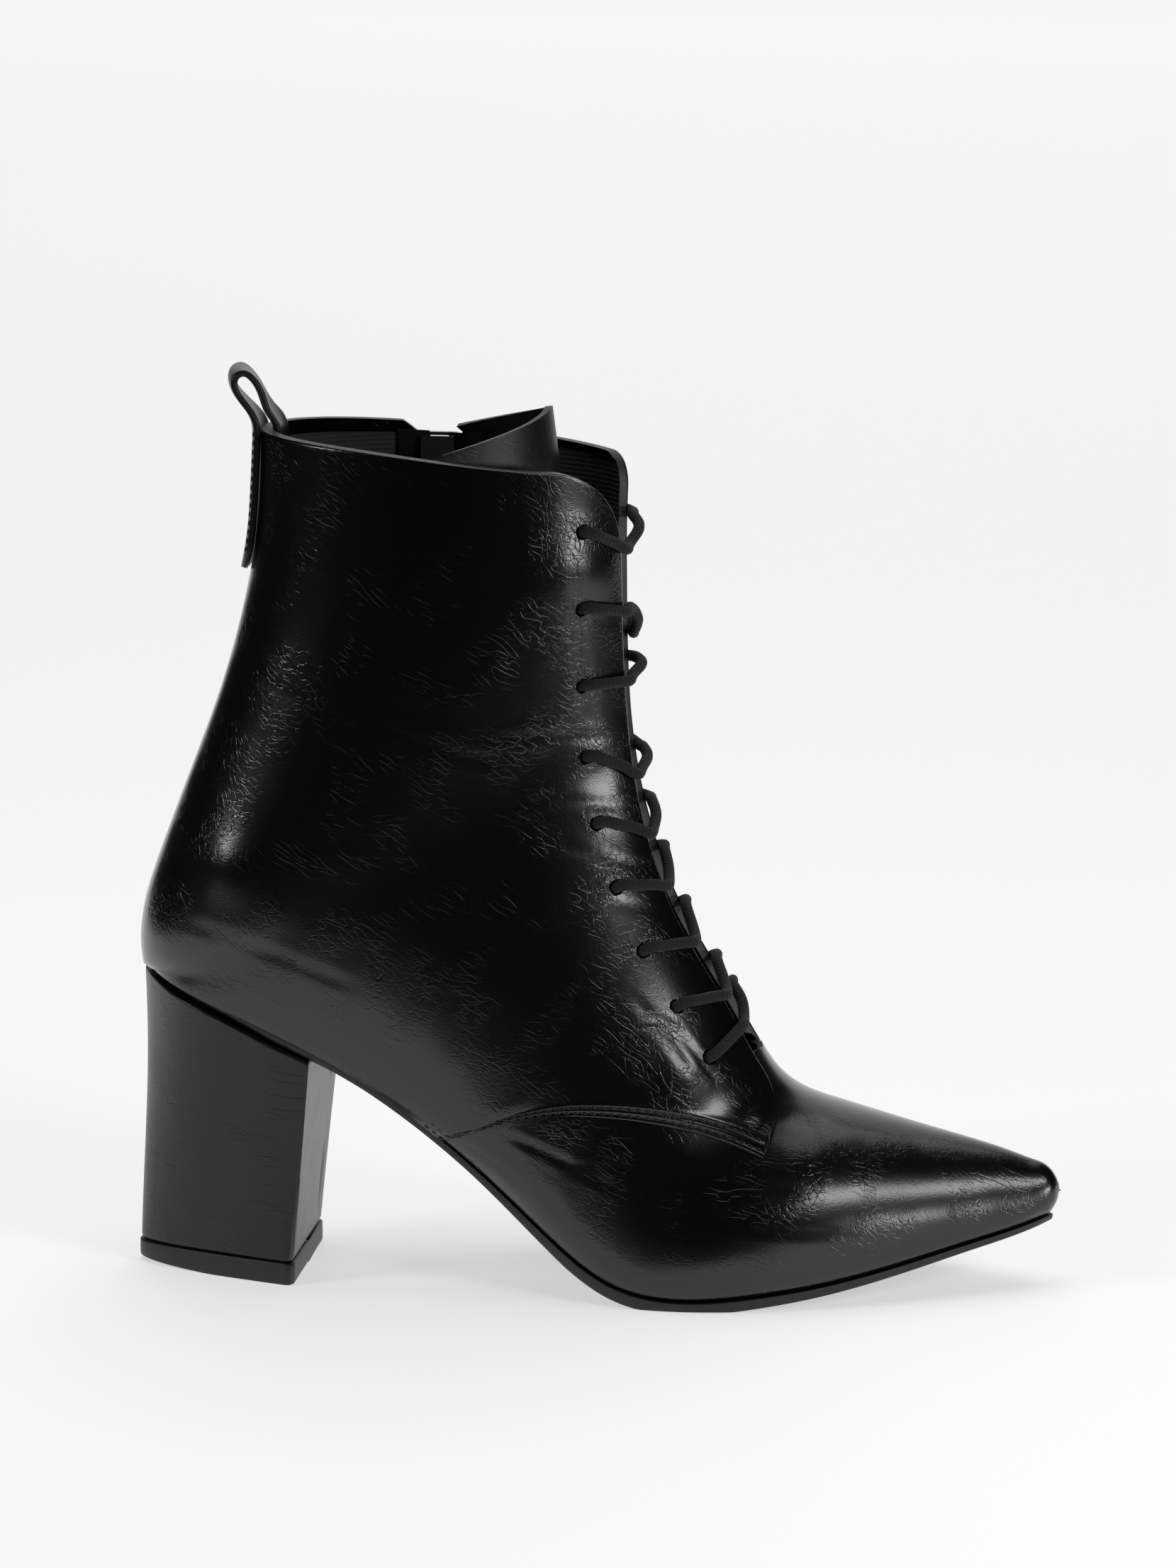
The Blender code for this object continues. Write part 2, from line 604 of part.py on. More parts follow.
ZIP_STATIONS = np.linspace(ZIP_TOP, ZIP_END, 23)
MOUTH_STATIONS = np.array([0.0, 0.1, 0.2, 0.32, ZIP_MOUTH_END])


def make_zip_slot():
    """The slot that the chain stands in; it opens out into a rounded mouth at the collar."""
    rings = []
    for station in np.concatenate([MOUTH_STATIONS, ZIP_STATIONS]):
        half = ZIP_SLOT / 2 + ZIP_MOUTH * max(1 - station / ZIP_MOUTH_END, 0.0) ** 2
        outline = [(-half, -CUT_DEPTH), (half, -CUT_DEPTH), (half, CUT_DEPTH), (-half, CUT_DEPTH)]
        rings.append(zip_ring(station, outline))
    rings.insert(0, rings[0] + [0.0, 0.0, CUT_DEPTH])
    return ring_solid("zip_slot", rings, None, CUTTERS)


def make_zip():
    """Both tapes behind the wall, and the closed chain standing in the slot."""
    tape = ZIP_TAPE / 2
    chain = CHAIN / 2
    back = -WALL - GLUE_GAP - TAPE_THICK
    front = -WALL - GLUE_GAP
    top = QUARTER_STEP + 0.1
    outline = [
        (-tape, back), (-chain, back), (chain, back), (tape, back), (tape, front),
        (chain, front), (chain, top), (-chain, top), (-chain, front), (-tape, front),
    ]
    short = [(across, min(height, front + 0.1)) for across, height in outline]
    last = ZIP_STATIONS[-1]
    rings = [zip_ring(station, outline) for station in ZIP_STATIONS[:-2]]
    rings += [zip_ring(ZIP_STATIONS[-2] - 0.15, short), zip_ring(last + 0.35, short)]
    return ring_solid("zip", rings, ZIP_NYLON)


def make_slider(center):
    """Outer plate, neck and inner plate of the slider, with the bridge that holds the pull tab."""
    x, y, z = center
    half, tall = SLIDER_HALF
    thin, low = NECK_HALF
    slider = box(
        "zip_slider", (x - half, y + SLIDER_OUTER[0], z - tall), (x + half, y + SLIDER_OUTER[1], z + tall),
        STEEL)
    inner = box(
        "slider_inner", (x - half, y + SLIDER_INNER[0], z - tall), (x + half, y + SLIDER_INNER[1], z + tall),
        None, CUTTERS)
    neck = box(
        "slider_neck", (x - thin, y + np.mean(SLIDER_INNER), z - low),
        (x + thin, y + np.mean(SLIDER_OUTER), z + low), None, CUTTERS)
    turns = np.linspace(-pi / 2, pi / 2, 11)
    round_wire = np.linspace(0, 2 * pi, 8, endpoint=False)
    rings = []
    for turn in turns:
        reach = BRIDGE_RADIUS + BRIDGE_WIRE * np.cos(round_wire)
        rings.append(np.column_stack([
            x + BRIDGE_WIRE * np.sin(round_wire),
            y + AXLE_OUT + reach * np.cos(turn), z + reach * np.sin(turn)]))
    foot = [0.0, -BRIDGE_FOOT, 0.0]
    rings = [rings[0] + foot] + rings + [rings[-1] + foot]
    bridge = ring_solid("slider_bridge", rings, None, CUTTERS)
    for piece in (neck, inner, bridge):
        combine(slider, piece, "UNION")
    return slider


def make_pull_tab(center):
    """A flat tab with a slot; its top bar lies under the bridge and is the hinge."""
    data = bpy.data.curves.new("zip_pull_tab", "CURVE")
    data.dimensions = "2D"
    data.fill_mode = "BOTH"
    data.extrude = TAB_THICK / 2 * MM
    half = TAB_WIDTH / 2
    bar = TAB_THICK / 2
    cut = TAB_CORNER
    wide, deep = TAB_SLOT
    outline = [(-half, bar), (half, bar), (half, cut - TAB_LENGTH), (half - cut, -TAB_LENGTH),
               (cut - half, -TAB_LENGTH), (-half, cut - TAB_LENGTH)]
    slot = [(-wide, -bar), (wide, -bar), (wide, -deep), (-wide, -deep)]
    for corners in (outline, slot):
        line = data.splines.new("POLY")
        line.points.add(len(corners) - 1)
        line.use_cyclic_u = True
        for point, (across, up) in zip(line.points, corners):
            point.co = (across * MM, up * MM, 0.0, 1.0)
    tab = add_object("zip_pull_tab", data, STEEL)
    axle = Vector(center) * MM + Vector((0.0, AXLE_OUT * MM, 0.0))
    tab.matrix_world = Matrix.Translation(axle) @ Matrix.Rotation(pi / 2, 4, "X")
    return tab


def make_tongue():
    """A curved sheet behind the facings; it leaves the front line more and more towards the top."""
    places, depth, half = np.transpose(TONGUE_SHAPE)
    stations = np.linspace(places[-1], places[0], 17)
    share = np.linspace(-1, 1, 11)
    rows = []
    for station in stations:
        deep = np.interp(station, places, depth)
        wide = np.interp(station, places, half)
        cut = section_at(station)
        run = np.array([cut.end_x - cut.front_x, 0.0, cut.end_z - cut.front_z])
        run /= np.linalg.norm(run)
        sides = [on_rib(station, OUTER if s < 0 else INNER, [abs(s) * wide])[0] for s in share]
        row = np.array(sides) + run * deep
        row[:, 1] *= TONGUE_SHARE
        rows.append(row)
    rise = TONGUE_RISE - TONGUE_DROP * np.abs(share) ** TONGUE_CURVE
    for part in (0.34, 0.67, 1.0):
        row = rows[len(stations) - 1].copy()
        row[:, 0] -= TONGUE_LEAN * part
        row[:, 2] += rise * part
        rows.append(row)
    points = np.array(rows)
    tongue = mesh_object(
        "tongue", points.reshape(-1, 3), grid_faces(*points.shape[:2]), TONGUE_LEATHER, closed=False)
    thicken(tongue, TONGUE_THICK, -1.0)
    return tongue


def feather_line(stations, inset):
    """The feather edge seen from above, moved inwards by inset: points of the outer and inner side."""
    lines = []
    for side in (OUTER, INNER):
        cuts = [section_at(station) for station in stations]
        half = np.array([cut.end_outer if side == OUTER else cut.end_inner for cut in cuts])
        line = np.array([[cut.end_x, cut.swing] for cut in cuts])
        line[:, 1] += side * np.maximum(half, 0.0)
        along = np.gradient(line, axis=0)
        along /= np.linalg.norm(along, axis=1, keepdims=True)
        along[[0, -1]] = [[0.0, side], [0.0, -side]]
        inwards = np.stack([along[:, 1], -along[:, 0]], axis=1) * side
        lines.append(line + inwards * np.asarray(inset)[..., None])
    return lines


SOLE_STATIONS = np.concatenate([
    [8.0, 8.12, 8.3, 8.55, 8.85], np.arange(9.2, 24.0, 0.45), [24.05, 24.4, 24.7, 24.9, 25.0],
])
FEATHER = np.array([
    [section_at(s).end_x, section_at(s).end_z] for s in np.linspace(HEEL_CORNER, TOE_CORNER, 200)
])


def seat_height(x):
    """Height of the feather edge over the floor."""
    return np.interp(x, FEATHER[:, 0], FEATHER[:, 1])


def sole_bottom(x):
    """Height of the underside of the outsole, pressed flat where it treads."""
    thickness = np.interp(x, *np.transpose(SOLE_THICKNESS))
    return np.maximum(seat_height(x) - GLUE_GAP - thickness, 0.0)


def make_plate(name, stations, inset_top, inset_bottom, top, bottom, coat):
    """A plate over the foot's outline, between two heights given over x."""
    outer_top, inner_top = feather_line(stations, inset_top)
    outer_low, inner_low = feather_line(stations, inset_bottom)
    corners = [(outer_top, top), (inner_top, top), (inner_low, bottom), (outer_low, bottom)]
    rings = np.stack(
        [np.column_stack([line, height(line[:, 0])]) for line, height in corners], axis=1)
    return ring_solid(name, rings, coat)


def make_outsole():
    """It is hidden a little under the heel seat and stands out a little round the forefoot."""
    inset = np.interp(SOLE_STATIONS, *np.transpose(SOLE_INSET))
    return make_plate(
        "outsole", SOLE_STATIONS, inset, inset + SOLE_BEVEL,
        lambda x: seat_height(x) - GLUE_GAP, sole_bottom, SOLE_RUBBER)


def make_insole():
    stations = SOLE_STATIONS[:-3]
    inset = np.full(len(stations), INSOLE_INSET)
    return make_plate(
        "insole", stations, inset, inset + INSOLE_BEVEL,
        lambda x: seat_height(x) + INSOLE_THICK, seat_height, BOARD)


PLAN_SHARE = np.linspace(0, 1, 15)  # places along one side of the heel's plan, back to front


def tip_outline(lip=0.0):
    """One side of the heel's plan at the floor, from its back to its front corner."""
    share = PLAN_SHARE**BACK_SPACING
    half = (TIP_HALF_WIDTH + lip) * np.sqrt(share) * (1 - TIP_TAPER * (1 - share))
    x = TIP_BACK - lip + (TIP_FRONT - TIP_BACK + 2 * lip) * share
    return np.column_stack([x, half])


def tip_lift(x):
    """How far the underside of the tip is off the floor: it rises towards the back."""
    return TIP_LIFT * np.clip((TIP_FLAT - x) / (TIP_FLAT - TIP_BACK), 0.0, 1.1) ** 1.3


def plan_ring(line, height):
    """A ring of the heel round both sides of its plan; the height is a function of x."""
    far = line.copy()
    far[:, 0] += BREAST_SKEW * PLAN_SHARE**6
    near = line * [1, -1]
    ring = np.concatenate([near, far[:0:-1]])
    return np.column_stack([ring, height(ring[:, 0])])


def seat_outline():
    """One side of the heel's plan under the seat, from its back to its front corner."""
    stations = np.linspace(HEEL_CORNER, STATION["waist_back"], 120)
    line = feather_line(stations, np.full(120, -HEEL_LEDGE))[1]
    line = line[line[:, 0] <= HEEL_BREAST]
    far = np.concatenate([[0.0], np.cumsum(np.linalg.norm(np.diff(line, axis=0), axis=1))])
    return np.stack([np.interp(PLAN_SHARE * far[-1], far, line[:, k]) for k in range(2)], axis=1)


def make_heel():
    """A block that changes from the seat's outline to the tip's, hollowed along its back."""
    low = tip_outline()
    high = seat_outline()
    bottom = TIP_HEIGHT + GLUE_GAP
    rings = []
    for k in np.linspace(0, 1, 10):
        line = low + (high - low) * k
        line[:, 0] += HEEL_HOLLOW * np.sin(pi * k**1.5) * (1 - PLAN_SHARE) ** 1.3
        line[:, 1] *= 1 - HEEL_WAIST * np.sin(pi * k)
        rings.append(plan_ring(line, lambda x: bottom + (sole_bottom(x) - GLUE_GAP - bottom) * k))
    return strip_solid("heel", rings, HEEL_COVER)


def make_heel_tip():
    """The wear layer: level on top, flat on the floor in front, worn up at the back."""
    rings = [
        plan_ring(tip_outline(), tip_lift),
        plan_ring(tip_outline(TIP_LIP), lambda x: TIP_EDGE + tip_lift(x)),
        plan_ring(tip_outline(TIP_LIP), lambda x: np.full(len(x), TIP_HEIGHT - TIP_EDGE)),
        plan_ring(tip_outline(), lambda x: np.full(len(x), TIP_HEIGHT)),
    ]
    return strip_solid("heel_tip", rings, TIP_RUBBER)


def make_pull_loop():
    """The strap follows its path and is bent round the back of the shaft."""
    knots = np.arange(len(LOOP_PATH))
    at = np.linspace(0, len(LOOP_PATH) - 1, 34)
    columns = [natural_spline(knots, [row[k] for row in LOOP_PATH])(at) for k in range(3)]
    long, wide = LOOP_ROUND
    points = []
    for x, z, bent in zip(*columns):
        half = LOOP_WIDTH / 2 * (1 - LOOP_NARROW * (1 - bent))
        for y in np.linspace(-half, half, 4):
            back = long * (1 - np.sqrt(1 - (y / wide) ** 2))
            points.append((x + bent * back - LOOP_TWIST * (1 - bent) * y, y, z))
    loop = mesh_object("pull_loop", points, grid_faces(len(at), 4), STRAP, closed=False)
    thicken(loop, LOOP_THICK, 0.0)
    return loop


def lace_path(height, fall):
    """Across the throat from hole to hole: over one facing, down in the middle, over the other."""
    high = QUARTER_STEP + LACE_RADIUS + LACE_CLEAR
    stations = np.linspace(0, THROAT + 1, 100)
    front_heights = [section_at(u).front_z for u in stations]
    middle = float(np.interp(fall - height, -np.array(front_heights), stations))
    halves = []
    for side in (OUTER, INNER):
        hole, distance = hole_place(height, side)
        path = []
        for share, dip in zip(np.linspace(0, 1, len(LACE_DIP)), LACE_DIP):
            station = hole + (middle - hole) * share
            path.append(wall_point(station, side, max(distance * (1 - share), LACE_CLEAR), high - dip))
        halves.append(path)
    center = (halves[0][-1] + halves[1][-1]) / 2
    return halves[0][:-1] + [center] + halves[1][-2::-1]


def make_laces():
    tube("lace_bar", lace_path(HOLE_HEIGHTS[-1], 0.0), LACE_RADIUS, CORD)
    for k, height in enumerate(HOLE_HEIGHTS[:-1]):
        tube(f"lace_crossing_{k + 1}", lace_path(height, LACE_FALL), LACE_RADIUS, CORD)


make_upper()
make_tongue()
make_insole()
make_outsole()
make_heel()
make_heel_tip()
make_pull_loop()
make_laces()
make_zip()
SLIDER_CENTER = tuple(on_rib(SLIDER_STATION, INNER, [zip_place(SLIDER_STATION)])[0])
make_slider(SLIDER_CENTER)
make_pull_tab(SLIDER_CENTER)
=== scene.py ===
import math
import bpy
import numpy as np
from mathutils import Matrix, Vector


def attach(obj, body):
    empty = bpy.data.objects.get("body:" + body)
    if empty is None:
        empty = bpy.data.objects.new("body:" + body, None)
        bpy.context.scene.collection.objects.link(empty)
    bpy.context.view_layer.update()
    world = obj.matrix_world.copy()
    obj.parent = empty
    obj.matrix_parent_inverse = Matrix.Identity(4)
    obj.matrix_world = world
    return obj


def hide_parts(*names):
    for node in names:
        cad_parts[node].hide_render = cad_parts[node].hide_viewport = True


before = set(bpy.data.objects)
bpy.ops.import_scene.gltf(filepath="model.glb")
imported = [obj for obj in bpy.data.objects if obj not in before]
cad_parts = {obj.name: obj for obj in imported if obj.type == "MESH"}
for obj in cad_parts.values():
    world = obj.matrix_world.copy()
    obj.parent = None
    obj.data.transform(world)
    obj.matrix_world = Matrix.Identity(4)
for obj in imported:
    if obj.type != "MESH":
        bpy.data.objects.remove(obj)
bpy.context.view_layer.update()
print("frame loaded")

outer, inner = -1, 1  # outer (lateral) and inner (medial) side of the foot

# Sizes are in mm and stations; a station is a row of the section table below.
shoe = {
    "wall": 1.6, "quarterStep": 1.0, "gapHalf": {outer: 9.0, inner: 11.0},
    "collarRound": {outer: 23.0, inner: 8.0}, "seamTop": (-4.0, 49.4), "seamFall": (0.0084, 0.0046),
    "heelCorner": 8, "toeCorner": 25, "throat": 16.1, "facingTurn": 16.3, "facingCorner": 17.9,
    "holeInset": 14.0, "holeRadius": 2.1, "glueGap": 0.3,
}
columnNames = "frontX frontZ endX endZ endOuter endInner wideOuter wideInner wideAt fullness swing".split()
sections = np.array([
    [9.0, 212.6, -85.8, 220.6, 0.0, 0.0, 30.8, 30.8, 0.50, 2.0, 0.0],  # collar
    [8.5, 203.0, -86.8, 197.5, 0.0, 0.0, 31.0, 31.0, 0.50, 2.0, 0.0],
    [8.3, 192.4, -90.6, 174.5, 0.0, 0.0, 31.2, 31.2, 0.50, 2.0, 0.0],
    [8.5, 181.6, -96.9, 152.0, 0.0, 0.0, 31.5, 31.5, 0.50, 2.05, 0.0],
    [8.9, 171.4, -104.8, 130.5, 0.0, 0.0, 31.8, 31.8, 0.51, 2.1, 0.0],  # ankle
    [9.5, 162.4, -112.1, 111.0, 0.0, 0.0, 32.05, 32.05, 0.53, 2.2, 0.0],
    [10.1, 154.8, -116.5, 97.5, 0.0, 0.0, 32.2, 32.2, 0.55, 2.3, 0.0],
    [10.7, 148.4, -117.9, 87.5, 0.0, 0.0, 32.35, 32.35, 0.57, 2.4, 0.0],
    [11.4, 142.4, -117.4, 80.0, 0.0, 0.0, 32.45, 32.45, 0.58, 2.4, 0.0],  # corner of the heel seat
    [12.2, 136.0, -114.0, 79.9, 9.6, 9.6, 32.55, 32.5, 0.59, 2.4, 0.0],
    [13.3, 128.8, -105.5, 77.4, 20.8, 20.8, 32.65, 32.5, 0.60, 2.4, 0.0],
    [15.0, 120.2, -92.5, 72.8, 26.4, 26.2, 32.8, 32.6, 0.61, 2.35, 0.0],
    [17.7, 110.0, -76.0, 65.4, 27.3, 27.0, 32.95, 32.6, 0.64, 2.3, 0.0],
    [22.2, 98.0, -58.5, 55.6, 26.3, 25.5, 33.2, 32.7, 0.69, 2.2, 0.0],
    [29.1, 85.4, -41.0, 43.4, 26.0, 25.0, 33.6, 32.8, 0.76, 2.15, 0.0],  # waist
    [36.2, 73.1, -24.5, 29.8, 27.3, 26.3, 34.6, 33.6, 0.81, 2.1, 0.0],
    [42.0, 61.9, -8.5, 16.0, 31.2, 30.0, 36.3, 35.1, 0.85, 2.0, 0.0],
    [47.0, 54.6, 7.0, 6.0, 35.8, 34.6, 38.4, 37.2, 0.87, 2.0, 0.0],
    [53.6, 49.8, 25.0, 2.8, 38.3, 37.2, 40.0, 38.9, 0.89, 2.0, 0.1],  # ball
    [62.2, 46.8, 44.0, 4.0, 36.2, 35.8, 37.8, 37.4, 0.90, 2.0, 0.4],
    [72.4, 43.9, 62.0, 6.2, 30.2, 30.2, 31.8, 31.8, 0.90, 2.0, 0.9],
    [83.6, 40.9, 79.5, 9.6, 22.2, 22.2, 23.7, 23.7, 0.89, 2.0, 1.4],
    [94.6, 38.1, 94.5, 13.2, 14.8, 14.8, 16.3, 16.3, 0.87, 2.0, 1.8],
    [104.4, 35.3, 106.0, 15.9, 9.0, 9.0, 10.7, 10.7, 0.83, 2.0, 2.1],
    [111.0, 33.0, 113.0, 17.8, 4.8, 4.8, 7.2, 7.2, 0.75, 2.0, 2.2],
    [114.8, 31.7, 116.8, 18.7, 0.0, 0.0, 5.2, 5.2, 0.62, 2.0, 2.2],  # corner of the toe
    [117.4, 29.4, 118.4, 21.6, 0.0, 0.0, 3.4, 3.4, 0.55, 2.0, 2.2],
    [118.9, 26.4, 119.0, 24.2, 0.0, 0.0, 1.0, 1.0, 0.50, 2.0, 2.2],  # tip of the toe
])


# Natural cubic spline: second derivatives solve the three-term system, straight at both ends.
def splineThrough(knots, values):
    knots, values = np.asarray(knots, float), np.asarray(values, float)
    step, size = np.diff(knots), len(knots)
    slope = np.diff(values) / step
    system, right = np.eye(size), np.zeros(size)
    for k in range(1, size - 1):
        system[k, k - 1:k + 2] = step[k - 1], 2 * (step[k - 1] + step[k]), step[k]
        right[k] = 6 * (slope[k] - slope[k - 1])
    bend = np.linalg.solve(system, right)

    def curve(at):
        at = np.asarray(at, float)
        k = np.clip(np.searchsorted(knots, at, side="right") - 1, 0, size - 2)
        left, rest = at - knots[k], knots[k + 1] - at
        cubic = (bend[k] * rest**3 + bend[k + 1] * left**3) / (6 * step[k])
        return (cubic + (values[k] / step[k] - bend[k] * step[k] / 6) * rest
                + (values[k + 1] / step[k] - bend[k + 1] * step[k] / 6) * left)
    return curve


# Columns that belong to the end of a section have a corner at the heel and at the toe.
def sectionCurves():
    low, high, last = shoe["heelCorner"], shoe["toeCorner"], len(sections) - 1
    curves = {}
    for k, name in enumerate(columnNames):
        whole = splineThrough(np.arange(last + 1), sections[:, k])
        if not name.startswith("end"):
            curves[name] = whole
            continue
        parts = [splineThrough(np.arange(a, b + 1), sections[a:b + 1, k])
                 for a, b in ((0, low), (low, high), (high, last))]
        curves[name] = lambda at, parts=parts: np.where(
            at < low, parts[0](np.minimum(at, low)),
            np.where(at < high, parts[1](np.clip(at, low, high)), parts[2](np.maximum(at, high))))
    return curves


curves = sectionCurves()
ribSteps = 400


def sectionAt(stations):
    return {name: curve(np.asarray(stations, float)) for name, curve in curves.items()}


# One side of each section: a quarter ellipse down to the widest place, then a fuller curve to its end.
def ribs(stations, side):
    cut = sectionAt(stations)
    wide = cut["wideOuter" if side == outer else "wideInner"][:, None]
    end = np.clip(cut["endOuter" if side == outer else "endInner"][:, None], 0, 0.999 * wide)
    runX, runZ = (cut["endX"] - cut["frontX"])[:, None], (cut["endZ"] - cut["frontZ"])[:, None]
    length, power, at = np.hypot(runX, runZ), 2 / cut["fullness"][:, None], cut["wideAt"][:, None]
    upperTurn = np.linspace(0, math.pi / 2, ribSteps)[None]
    lastTurn = np.arccos((end / wide) ** (1 / power))
    lowerTurn = np.linspace(0, 1, ribSteps)[1:] ** 1.3 * lastTurn
    reach = (1 - at) * length / np.sin(lastTurn) ** power
    down = np.concatenate([at * length * (1 - np.cos(upperTurn)),
                           at * length + reach * np.sin(lowerTurn) ** power], axis=1)
    half = wide * np.concatenate([np.sin(upperTurn) + 0 * wide, np.abs(np.cos(lowerTurn)) ** power], axis=1)
    half[:, -1] = np.where(end[:, 0] == 0, 0, half[:, -1])
    points = np.stack([cut["frontX"][:, None] + runX * down / length, cut["swing"][:, None] + side * half,
                       cut["frontZ"][:, None] + runZ * down / length], axis=-1)
    far = np.concatenate([0 * at, np.cumsum(np.linalg.norm(np.diff(points, axis=1), axis=2), axis=1)], axis=1)
    return points, far


# Points at distances along the ribs; past the front line or a back seam a rib goes on, mirrored.
def onSurface(stations, side, distances):
    stations = np.clip(np.asarray(stations, float), 0, len(sections) - 1)
    points, far = ribs(stations, side)
    ends, swing = far[:, -1], sectionAt(stations)["swing"]
    result = np.empty(distances.shape + (3,))
    for i in range(len(stations)):
        want, mirror = distances[i], distances[i] < 0
        want = np.abs(want)
        if stations[i] <= shoe["heelCorner"]:
            mirror = mirror ^ (want > ends[i])
            want = np.where(want > ends[i], 2 * ends[i] - want, want)
        for k in range(3):
            result[i, :, k] = np.interp(want, far[i], points[i, :, k])
        result[i, :, 1] = np.where(mirror, 2 * swing[i] - result[i, :, 1], result[i, :, 1])
    return result


# Unit normals out of the shoe: across the ribs times along them, from points close by.
def outwards(stations, side, distances):
    along = onSurface(stations + 0.3, side, distances) - onSurface(stations - 0.3, side, distances)
    across = onSurface(stations, side, distances + 0.4) - onSurface(stations, side, distances - 0.4)
    normal = np.cross(across, along) * -side
    return normal / np.maximum(np.linalg.norm(normal, axis=-1, keepdims=True), 1e-9)


# Distances from the front line to the throat's edge, the facing's edge, the seam and the end of the rib.
def edgesOf(stations, side):
    stations = np.asarray(stations, float)
    points, far = ribs(stations, side)
    cut = sectionAt(stations)
    half = np.abs(points[:, :ribSteps, 1] - cut["swing"][:, None])
    gap = np.array([np.interp(shoe["gapHalf"][side], h, f[:ribSteps]) for h, f in zip(half, far)])
    away = points[..., 0] - shoe["seamTop"][0]
    seamZ = shoe["seamTop"][1] - np.where(away < 0, *shoe["seamFall"]) * away**2
    over = points[..., 2] - seamZ
    under = (over < 0) & (stations[:, None] > shoe["heelCorner"])
    first, row = np.maximum(under.argmax(1), 1), np.arange(len(stations))
    share = over[row, first - 1] / np.maximum(over[row, first - 1] - over[row, first], 1e-9)
    crossing = far[row, first - 1] + share * (far[row, first] - far[row, first - 1])
    return gap, np.where(under.any(1), crossing, far[:, -1]), far[:, -1]


def facingEdge(stations, side):
    stations = np.asarray(stations, float)
    gap = edgesOf(stations, side)[0]
    radius = shoe["collarRound"][side]
    below = np.clip(sections[0, 1] - sectionAt(stations)["frontZ"], 0, radius)
    edge = gap + radius - np.sqrt(radius**2 - (radius - below) ** 2)
    turn = np.clip((stations - shoe["facingTurn"]) / (shoe["facingCorner"] - shoe["facingTurn"]), 0, 1)
    corner = edgesOf([shoe["facingCorner"]], side)[1][0]
    return edge + (corner - edge) * (1 - np.sqrt(1 - turn**2))


# 0 below low, 1 above high, between them t squared times (3 - 2t).
def smoothStep(low, high, value):
    t = np.clip((value - low) / (high - low), 0, 1)
    return t * t * (3 - 2 * t)


# One place on the wall per row: surface point plus height times normal.
def wallPoints(stations, side, distances, heights):
    stations = np.atleast_1d(np.asarray(stations, float))
    distances = np.asarray(distances, float).reshape(-1, 1)
    place = onSurface(stations, side, distances)[:, 0]
    return place + np.reshape(heights, (-1, 1)) * outwards(stations, side, distances)[:, 0]


# Four-sided faces of a grid of points, row by row.
def gridFaces(rows, columns, first=0, around=False):
    across = np.arange(columns if around else columns - 1)
    a = first + np.arange(rows - 1)[:, None] * columns + across
    b = first + np.arange(rows - 1)[:, None] * columns + (across + 1) % columns
    return np.stack([a, b, b + columns, a + columns], axis=-1).reshape(-1, 4)


# Welds points in one place and drops faces that close up; four-sided faces may become triangles.
def addMesh(name, points, faces, materials, faceMaterial=None, values=None, body="boot", sharp=0.75):
    points = np.asarray(points, float).reshape(-1, 3)
    faceMaterial = np.zeros(len(faces), int) if faceMaterial is None else np.asarray(faceMaterial)
    _, chosen, place = np.unique(np.round(points, 4) + 0.0, axis=0, return_index=True, return_inverse=True)
    faces = place.reshape(-1)[faces]
    same = faces == np.roll(faces, -1, axis=1)
    quads, triangles = same.sum(1) == 0, same.sum(1) == 1
    three = faces[triangles][~same[triangles]].reshape(-1, 3)
    kept = np.concatenate([faceMaterial[quads], faceMaterial[triangles]])
    used, index = np.unique(np.concatenate([faces[quads].ravel(), three.ravel()]), return_inverse=True)
    count = quads.sum() * 4
    data = bpy.data.meshes.new(name)
    data.from_pydata((points[chosen[used]] * 0.001).tolist(), [],
                     index[:count].reshape(-1, 4).tolist() + index[count:].reshape(-1, 3).tolist())
    data.polygons.foreach_set("material_index", kept.astype(np.int32))
    data.polygons.foreach_set("use_smooth", np.ones(len(kept), bool))
    for key, value in (values or {}).items():
        data.attributes.new(key, "FLOAT", "POINT").data.foreach_set(
            "value", np.asarray(value, float).ravel()[chosen[used]].astype(np.float32))
    for material in materials:
        data.materials.append(material)
    data.update()
    data.set_sharp_from_angle(angle=sharp)
    made = bpy.data.objects.new(name, data)
    bpy.context.scene.collection.objects.link(made)
    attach(made, body)
    return made


# A closed shell: the outer sheet, the inner sheet turned round, and a rim along every open edge.
def addShell(name, outside, inside, faces, materials, values=None, insideMaterial=None, **more):
    outside, inside = outside.reshape(-1, 3), inside.reshape(-1, 3)
    count = len(outside)
    _, place = np.unique(np.round(outside, 4) + 0.0, axis=0, return_inverse=True)
    place = place.reshape(-1)
    start, stop = faces.ravel(), np.roll(faces, -1, axis=1).ravel()
    size = place.max() + 1
    key, back = place[start] * size + place[stop], place[stop] * size + place[start]
    rim = ~np.isin(key, back) & (place[start] != place[stop])
    a, b = start[rim], stop[rim]
    rims = np.stack([b, a, a + count, b + count], axis=1)
    insideMaterial = np.full(len(faces), 2) if insideMaterial is None else insideMaterial
    kinds = np.concatenate([np.zeros(len(faces), int), insideMaterial, np.ones(len(rims), int)])
    doubled = {k: np.concatenate([np.ravel(v), np.ravel(v)]) for k, v in (values or {}).items()}
    allFaces = np.concatenate([faces, faces[:, ::-1] + count, rims])
    return addMesh(name, np.concatenate([outside, inside]), allFaces, materials, kinds, doubled, **more)


